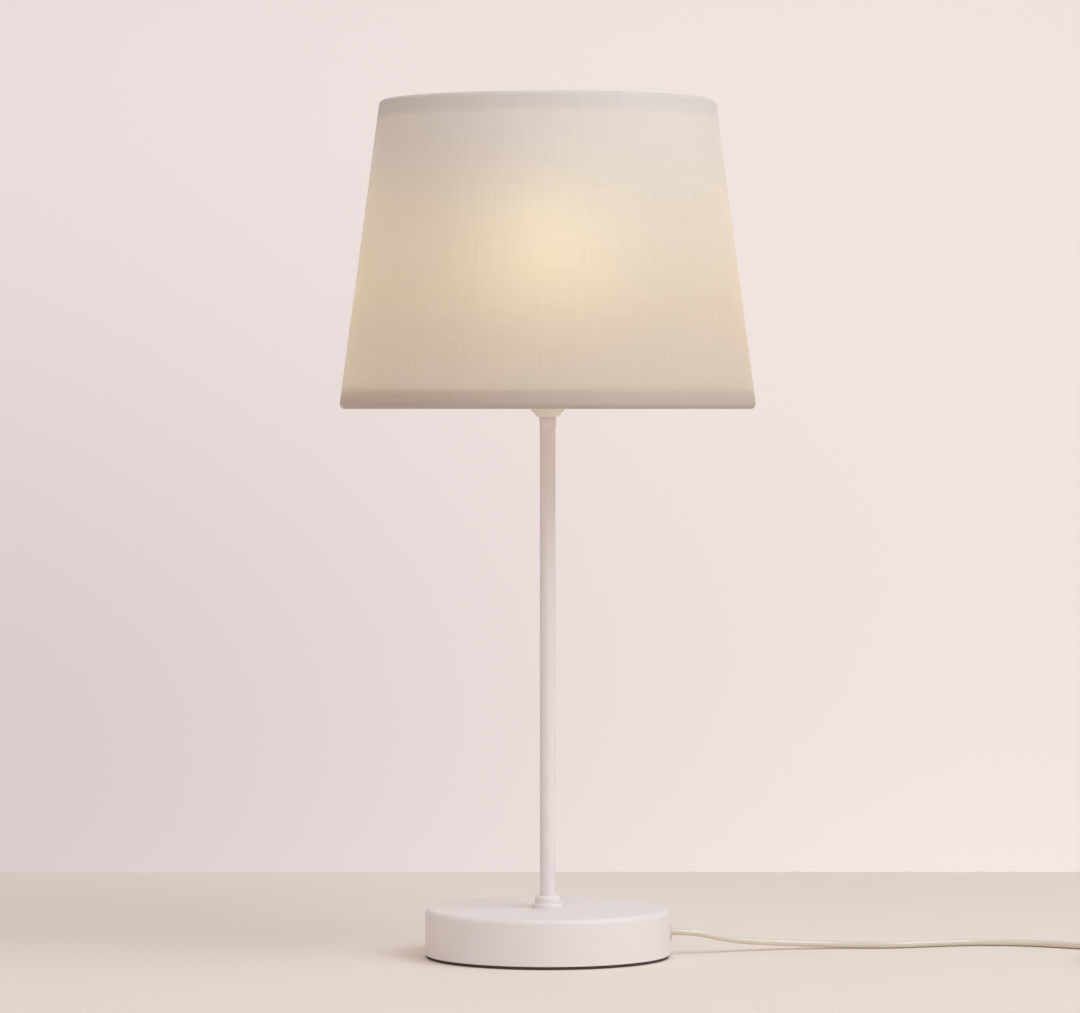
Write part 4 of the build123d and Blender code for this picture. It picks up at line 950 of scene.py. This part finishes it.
class TABLELAMP_OT_stem(bpy.types.Operator):
    """Collar on the base, slim stem tube and the coupler at its top"""

    bl_idname = "table_lamp.stem"
    bl_label = "Stem"

    def execute(self, context):
        sizes = context.scene.table_lamp_sizes
        radius = sizes.stem_radius / MM
        top = sizes.stem_top / MM

        bore = 2.8
        spigot_radius = 4.0
        spigot_bottom = 14.8
        flange_radius = 7.55
        flange_top = 25.8
        flange_round = 0.9
        neck_radius = 6.1
        neck_top = 29.5
        neck_round = 1.6
        socket_radius = 3.77
        collar = [
            (bore, spigot_bottom),
            (spigot_radius, spigot_bottom),
            (spigot_radius, BASE_TOP),
            (flange_radius, BASE_TOP),
            *arc(
                (flange_radius - flange_round, flange_top - flange_round),
                flange_round,
                0,
                90,
                count=5,
            ),
            (neck_radius, flange_top),
            *arc((neck_radius - neck_round, neck_top - neck_round), neck_round, 0, 90, count=6),
            (socket_radius, neck_top),
            (socket_radius, STEM_SEAT),
            (bore, STEM_SEAT),
        ]
        turned("collar", collar, "lamp", "powder_coat", "stem_collar", steps=72)

        wall = 0.9
        tube = [
            (radius - wall, STEM_SEAT),
            (radius, STEM_SEAT),
            (radius, top),
            (radius - wall, top),
        ]
        turned("stem", tube, "lamp", "powder_coat", "stem_tube", steps=64)

        coupler_bore = 2.25
        plug_radius = 2.83
        plug_depth = 10
        body_radius = 3.95
        nipple_radius = 3.2
        nipple_height = 5.0
        body_top = top + COUPLER_HEIGHT
        coupler = [
            (coupler_bore, top - plug_depth),
            (plug_radius, top - plug_depth),
            (plug_radius, top),
            (body_radius, top),
            (body_radius, body_top),
            (nipple_radius, body_top),
            (nipple_radius, body_top + nipple_height),
            (coupler_bore, body_top + nipple_height),
        ]
        turned("coupler", coupler, "lamp", "powder_coat", "top_coupler", steps=64, edge=0.35)
        return {"FINISHED"}


class TABLELAMP_OT_holder(bpy.types.Operator):
    """Lampholder: tapered cap and barrel with its shoulder and thread"""

    bl_idname = "table_lamp.holder"
    bl_label = "Lampholder"

    # Cap's side from its cone to its round, as radii and heights above its lower end
    cap_side = ((11.4, 6.95), (12.3, 8.05), (12.95, 9.15), (13.4, 10.35), (13.66, 11.6))

    def execute(self, context):
        sizes = context.scene.table_lamp_sizes
        radius = sizes.holder_radius / MM
        low = sizes.stem_top / MM + COUPLER_HEIGHT
        top = low + CAP_HEIGHT

        bore = 3.22
        end_radius = 5.0
        side_top = 12.9
        lap_radius = 12.05
        lap_bottom = 14.2
        room_radius = 10.95
        room_bottom = 11.2
        floor_radius = 6.48
        floor_height = 5.3
        cap = [
            (bore, low),
            (end_radius, low),
            *((out, low + up) for out, up in self.cap_side),
            (radius, low + side_top),
            (radius, top),
            (lap_radius, top),
            (lap_radius, low + lap_bottom),
            (room_radius, low + lap_bottom),
            (room_radius, low + room_bottom),
            (floor_radius, low + floor_height),
            (bore, low + floor_height),
        ]
        turned("holder_cone", cap, "lamp", "holder_plastic", "holder_cap", steps=96)

        thread_depth = 0.5
        root = radius - thread_depth
        inside = 10.7
        spigot_radius = 12.0
        spigot_depth = 3.5
        shoulder_radius = 17.0
        shoulder_bottom = 5
        shoulder_top = 7.5
        thread_bottom = 8.7
        thread_top = 26.8
        barrel_top = 28
        barrel = [
            (inside, top - spigot_depth),
            (spigot_radius, top - spigot_depth),
            (spigot_radius, top),
            (radius, top),
            (radius, top + shoulder_bottom),
            (shoulder_radius, top + shoulder_bottom),
            (shoulder_radius, top + shoulder_top),
            (root, top + shoulder_top),
            *thread_side(radius, root, top + thread_bottom, top + thread_top, pitch=2.0),
            (root, top + barrel_top),
            (inside, top + barrel_top),
        ]
        turned("holder_sleeve", barrel, "lamp", "holder_plastic", "holder_barrel", steps=96)
        return {"FINISHED"}


class TABLELAMP_OT_bulb(bpy.types.Operator):
    """Lit bulb: opal globe on a tapered body"""

    bl_idname = "table_lamp.bulb"
    bl_label = "Bulb"

    # Body's side from its lower end to its rim, as radii and heights
    body_side = ((8.5, 305.4), (10.2, 308.6), (12.4, 314.2), (14.3, 319.0))

    def execute(self, context):
        radius = context.scene.table_lamp_sizes.globe_radius / MM
        wall = 1.4
        rim_radius = 15.3
        lip_radius = 13.52
        lip_inside = 12.52
        lip_depth = 1.2
        lip_bottom = BULB_RIM - lip_depth
        inner = radius - wall
        centre = BULB_RIM + math.sqrt(radius**2 - rim_radius**2)
        low = -math.degrees(math.acos(rim_radius / radius))
        low_inside = -math.degrees(math.acos(lip_inside / inner))
        globe = [
            *arc((0, centre), radius, low, 90, count=28),
            *arc((0, centre), inner, 90, low_inside, count=24),
            (lip_inside, lip_bottom),
            (lip_radius, lip_bottom),
            (lip_radius, BULB_RIM),
        ]
        turned("globe", globe, "bulb", "bulb_globe_opal", "bulb_globe", steps=72)

        bottom = self.body_side[0][1]
        body_wall = 1.2
        seat_height = 320.0
        seat_radius = 13.14
        seat_inside = 11.94
        floor_radius = 7.3
        body = [
            (0, bottom),
            *self.body_side,
            (rim_radius, BULB_RIM),
            (rim_radius - body_wall, BULB_RIM),
            (seat_radius, seat_height),
            (seat_inside, seat_height),
            (floor_radius, bottom + body_wall),
            (0, bottom + body_wall),
        ]
        turned("bulb_base", body, "bulb", "bulb_plastic", "bulb_body", steps=72)
        return {"FINISHED"}


def lay_cloth_uv(bm, middle_radius, lean):
    """UV map of the cloth: metres round the shade at half its height, and metres up."""
    layer = bm.loops.layers.uv.new("Cloth")
    for face in bm.faces:
        middle = face.calc_center_median()
        around = math.atan2(middle.y, middle.x)
        for loop in face.loops:
            spot = loop.vert.co
            angle = math.atan2(spot.y, spot.x) - around
            angle = (angle + math.pi) % (2 * math.pi) - math.pi
            loop[layer].uv = ((around + angle) * middle_radius, spot.z / math.cos(lean))


class TABLELAMP_OT_shade(bpy.types.Operator):
    """Drum shade with rolled edges and the lap seam at its back"""

    bl_idname = "table_lamp.shade"
    bl_label = "Shade"

    def execute(self, context):
        sizes = context.scene.table_lamp_sizes
        low_radius = sizes.shade_bottom_radius / MM
        top_radius = sizes.shade_top_radius / MM
        height = sizes.shade_height / MM
        low = sizes.shade_bottom / MM
        lean = math.atan2(low_radius - top_radius, height)
        middle_radius = (low_radius + top_radius) / 2 * MM
        roll = 2.45
        wall = 0.9
        hem_rise = 0.6
        hem_leg = 6.5
        hem_tip = -2.1
        wall_steps, roll_steps, inside_steps = 12, 12, 10
        inside = roll - wall
        first = roll * (1 + math.sin(lean)) / math.cos(lean)
        last = (height - roll * (1 - math.sin(lean))) / math.cos(lean)

        def on_slope(out, up):
            return (
                low_radius + out * math.cos(lean) - up * math.sin(lean),
                low + out * math.sin(lean) + up * math.cos(lean),
            )

        profile = [
            *((0, last + (first - last) * step / wall_steps) for step in range(wall_steps)),
            *arc((-roll, first), roll, 0, -180, roll_steps),
            (-2 * roll, first + hem_rise),
            (hem_tip, first + hem_leg),
            (hem_tip + wall, first + hem_leg),
            (-2 * roll + wall, first + hem_rise),
            *arc((-roll, first), inside, -180, 0, inside_steps),
            *(
                (-wall, first + (last - first) * step / wall_steps)
                for step in range(1, wall_steps)
            ),
            *arc((-roll, last), inside, 0, 180, inside_steps),
            (-2 * roll + wall, last - hem_rise),
            (hem_tip + wall, last - hem_leg),
            (hem_tip, last - hem_leg),
            (-2 * roll, last - hem_rise),
            *arc((-roll, last), roll, 180, 0, roll_steps)[:-1],
        ]
        bm = spun([on_slope(*point) for point in profile], steps=224)
        bmesh.ops.recalc_face_normals(bm, faces=bm.faces)
        film_margin = 3.0
        for face in bm.faces:
            middle = face.calc_center_median()
            inwards = face.normal.dot(Vector((middle.x, middle.y, 0.0))) < 0
            off_middle = abs(middle.z - (low + height / 2) * MM)
            upright = off_middle < (height / 2 - film_margin) * MM
            face.material_index = 1 if inwards and upright else 0
        lay_cloth_uv(bm, middle_radius, lean)
        slots = ["shade_fabric", "shade_film"]
        shade = finish_mesh(bm, "shade_cloth", slots, CLOTH_SHARP_ANGLE)
        placed(shade, "shade", ["shade_panel"])

        lap_height = 0.4
        lap_margin = 1.0
        half_angle = math.radians(3.4)
        steps = 10
        bm = bmesh.new()
        rows = []
        for out in (0.0, lap_height):
            for up in (first + lap_margin, last - lap_margin):
                radius, z = on_slope(out, up)
                turns = [-half_angle + 2 * half_angle * step / steps for step in range(steps + 1)]
                rows.append(
                    [
                        bm.verts.new(
                            (radius * MM * math.sin(turn), radius * MM * math.cos(turn), z * MM)
                        )
                        for turn in turns
                    ]
                )
        for one, other in ((0, 1), (2, 3), (0, 2), (1, 3)):
            for step in range(steps):
                near = rows[one][step : step + 2]
                far = rows[other][step : step + 2]
                bm.faces.new((*near, *reversed(far)))
        for step in (0, steps):
            bm.faces.new((rows[0][step], rows[1][step], rows[3][step], rows[2][step]))
        lay_cloth_uv(bm, middle_radius, lean)
        lap = finish_mesh(bm, "shade_lap", ["shade_fabric"], CLOTH_SHARP_ANGLE)
        placed(lap, "shade", [])
        return {"FINISHED"}


class TABLELAMP_OT_finishes(bpy.types.Operator):
    """Finish of every solid that is carried over as it is"""

    bl_idname = "table_lamp.finishes"
    bl_label = "Finishes"

    def execute(self, context):
        for part in frame["record"]["subparts"]:
            node = frame["nodes"][part["node"]]
            material = material_for(part["material_slot"])
            node.data.materials.clear()
            node.data.materials.append(material)
        return {"FINISHED"}


class TABLELAMP_PT_panel(bpy.types.Panel):
    """Sizes, colours and steps of the table lamp"""

    bl_idname = "TABLELAMP_PT_panel"
    bl_label = "Table Lamp"
    bl_space_type = "VIEW_3D"
    bl_region_type = "UI"
    bl_category = "Table Lamp"

    def draw(self, context):
        layout = self.layout
        for step in STEPS:
            layout.operator(step.bl_idname)
        for group in (context.scene.table_lamp_sizes, context.scene.table_lamp_colours):
            box = layout.box()
            for name in group.__annotations__:
                box.prop(group, name)


STEPS = (
    TABLELAMP_OT_stage,
    TABLELAMP_OT_flex,
    TABLELAMP_OT_base,
    TABLELAMP_OT_stem,
    TABLELAMP_OT_holder,
    TABLELAMP_OT_bulb,
    TABLELAMP_OT_shade,
    TABLELAMP_OT_finishes,
)
CLASSES = (TableLampSizes, TableLampColours, *STEPS, TABLELAMP_PT_panel)


def register():
    """Register the classes and hang the sizes and colours on the scene."""
    for entry in CLASSES:
        bpy.utils.register_class(entry)
    bpy.types.Scene.table_lamp_sizes = bpy.props.PointerProperty(type=TableLampSizes)
    bpy.types.Scene.table_lamp_colours = bpy.props.PointerProperty(type=TableLampColours)


def unregister():
    """Take the classes and their properties away again."""
    del bpy.types.Scene.table_lamp_colours
    del bpy.types.Scene.table_lamp_sizes
    for entry in reversed(CLASSES):
        bpy.utils.unregister_class(entry)


def main():
    """Make the whole lamp and its stage."""
    register()
    bpy.ops.table_lamp.stage()
    bpy.ops.table_lamp.flex()
    bpy.ops.table_lamp.base()
    bpy.ops.table_lamp.stem()
    bpy.ops.table_lamp.holder()
    bpy.ops.table_lamp.bulb()
    bpy.ops.table_lamp.shade()
    bpy.ops.table_lamp.finishes()


if __name__ == "__main__":
    main()
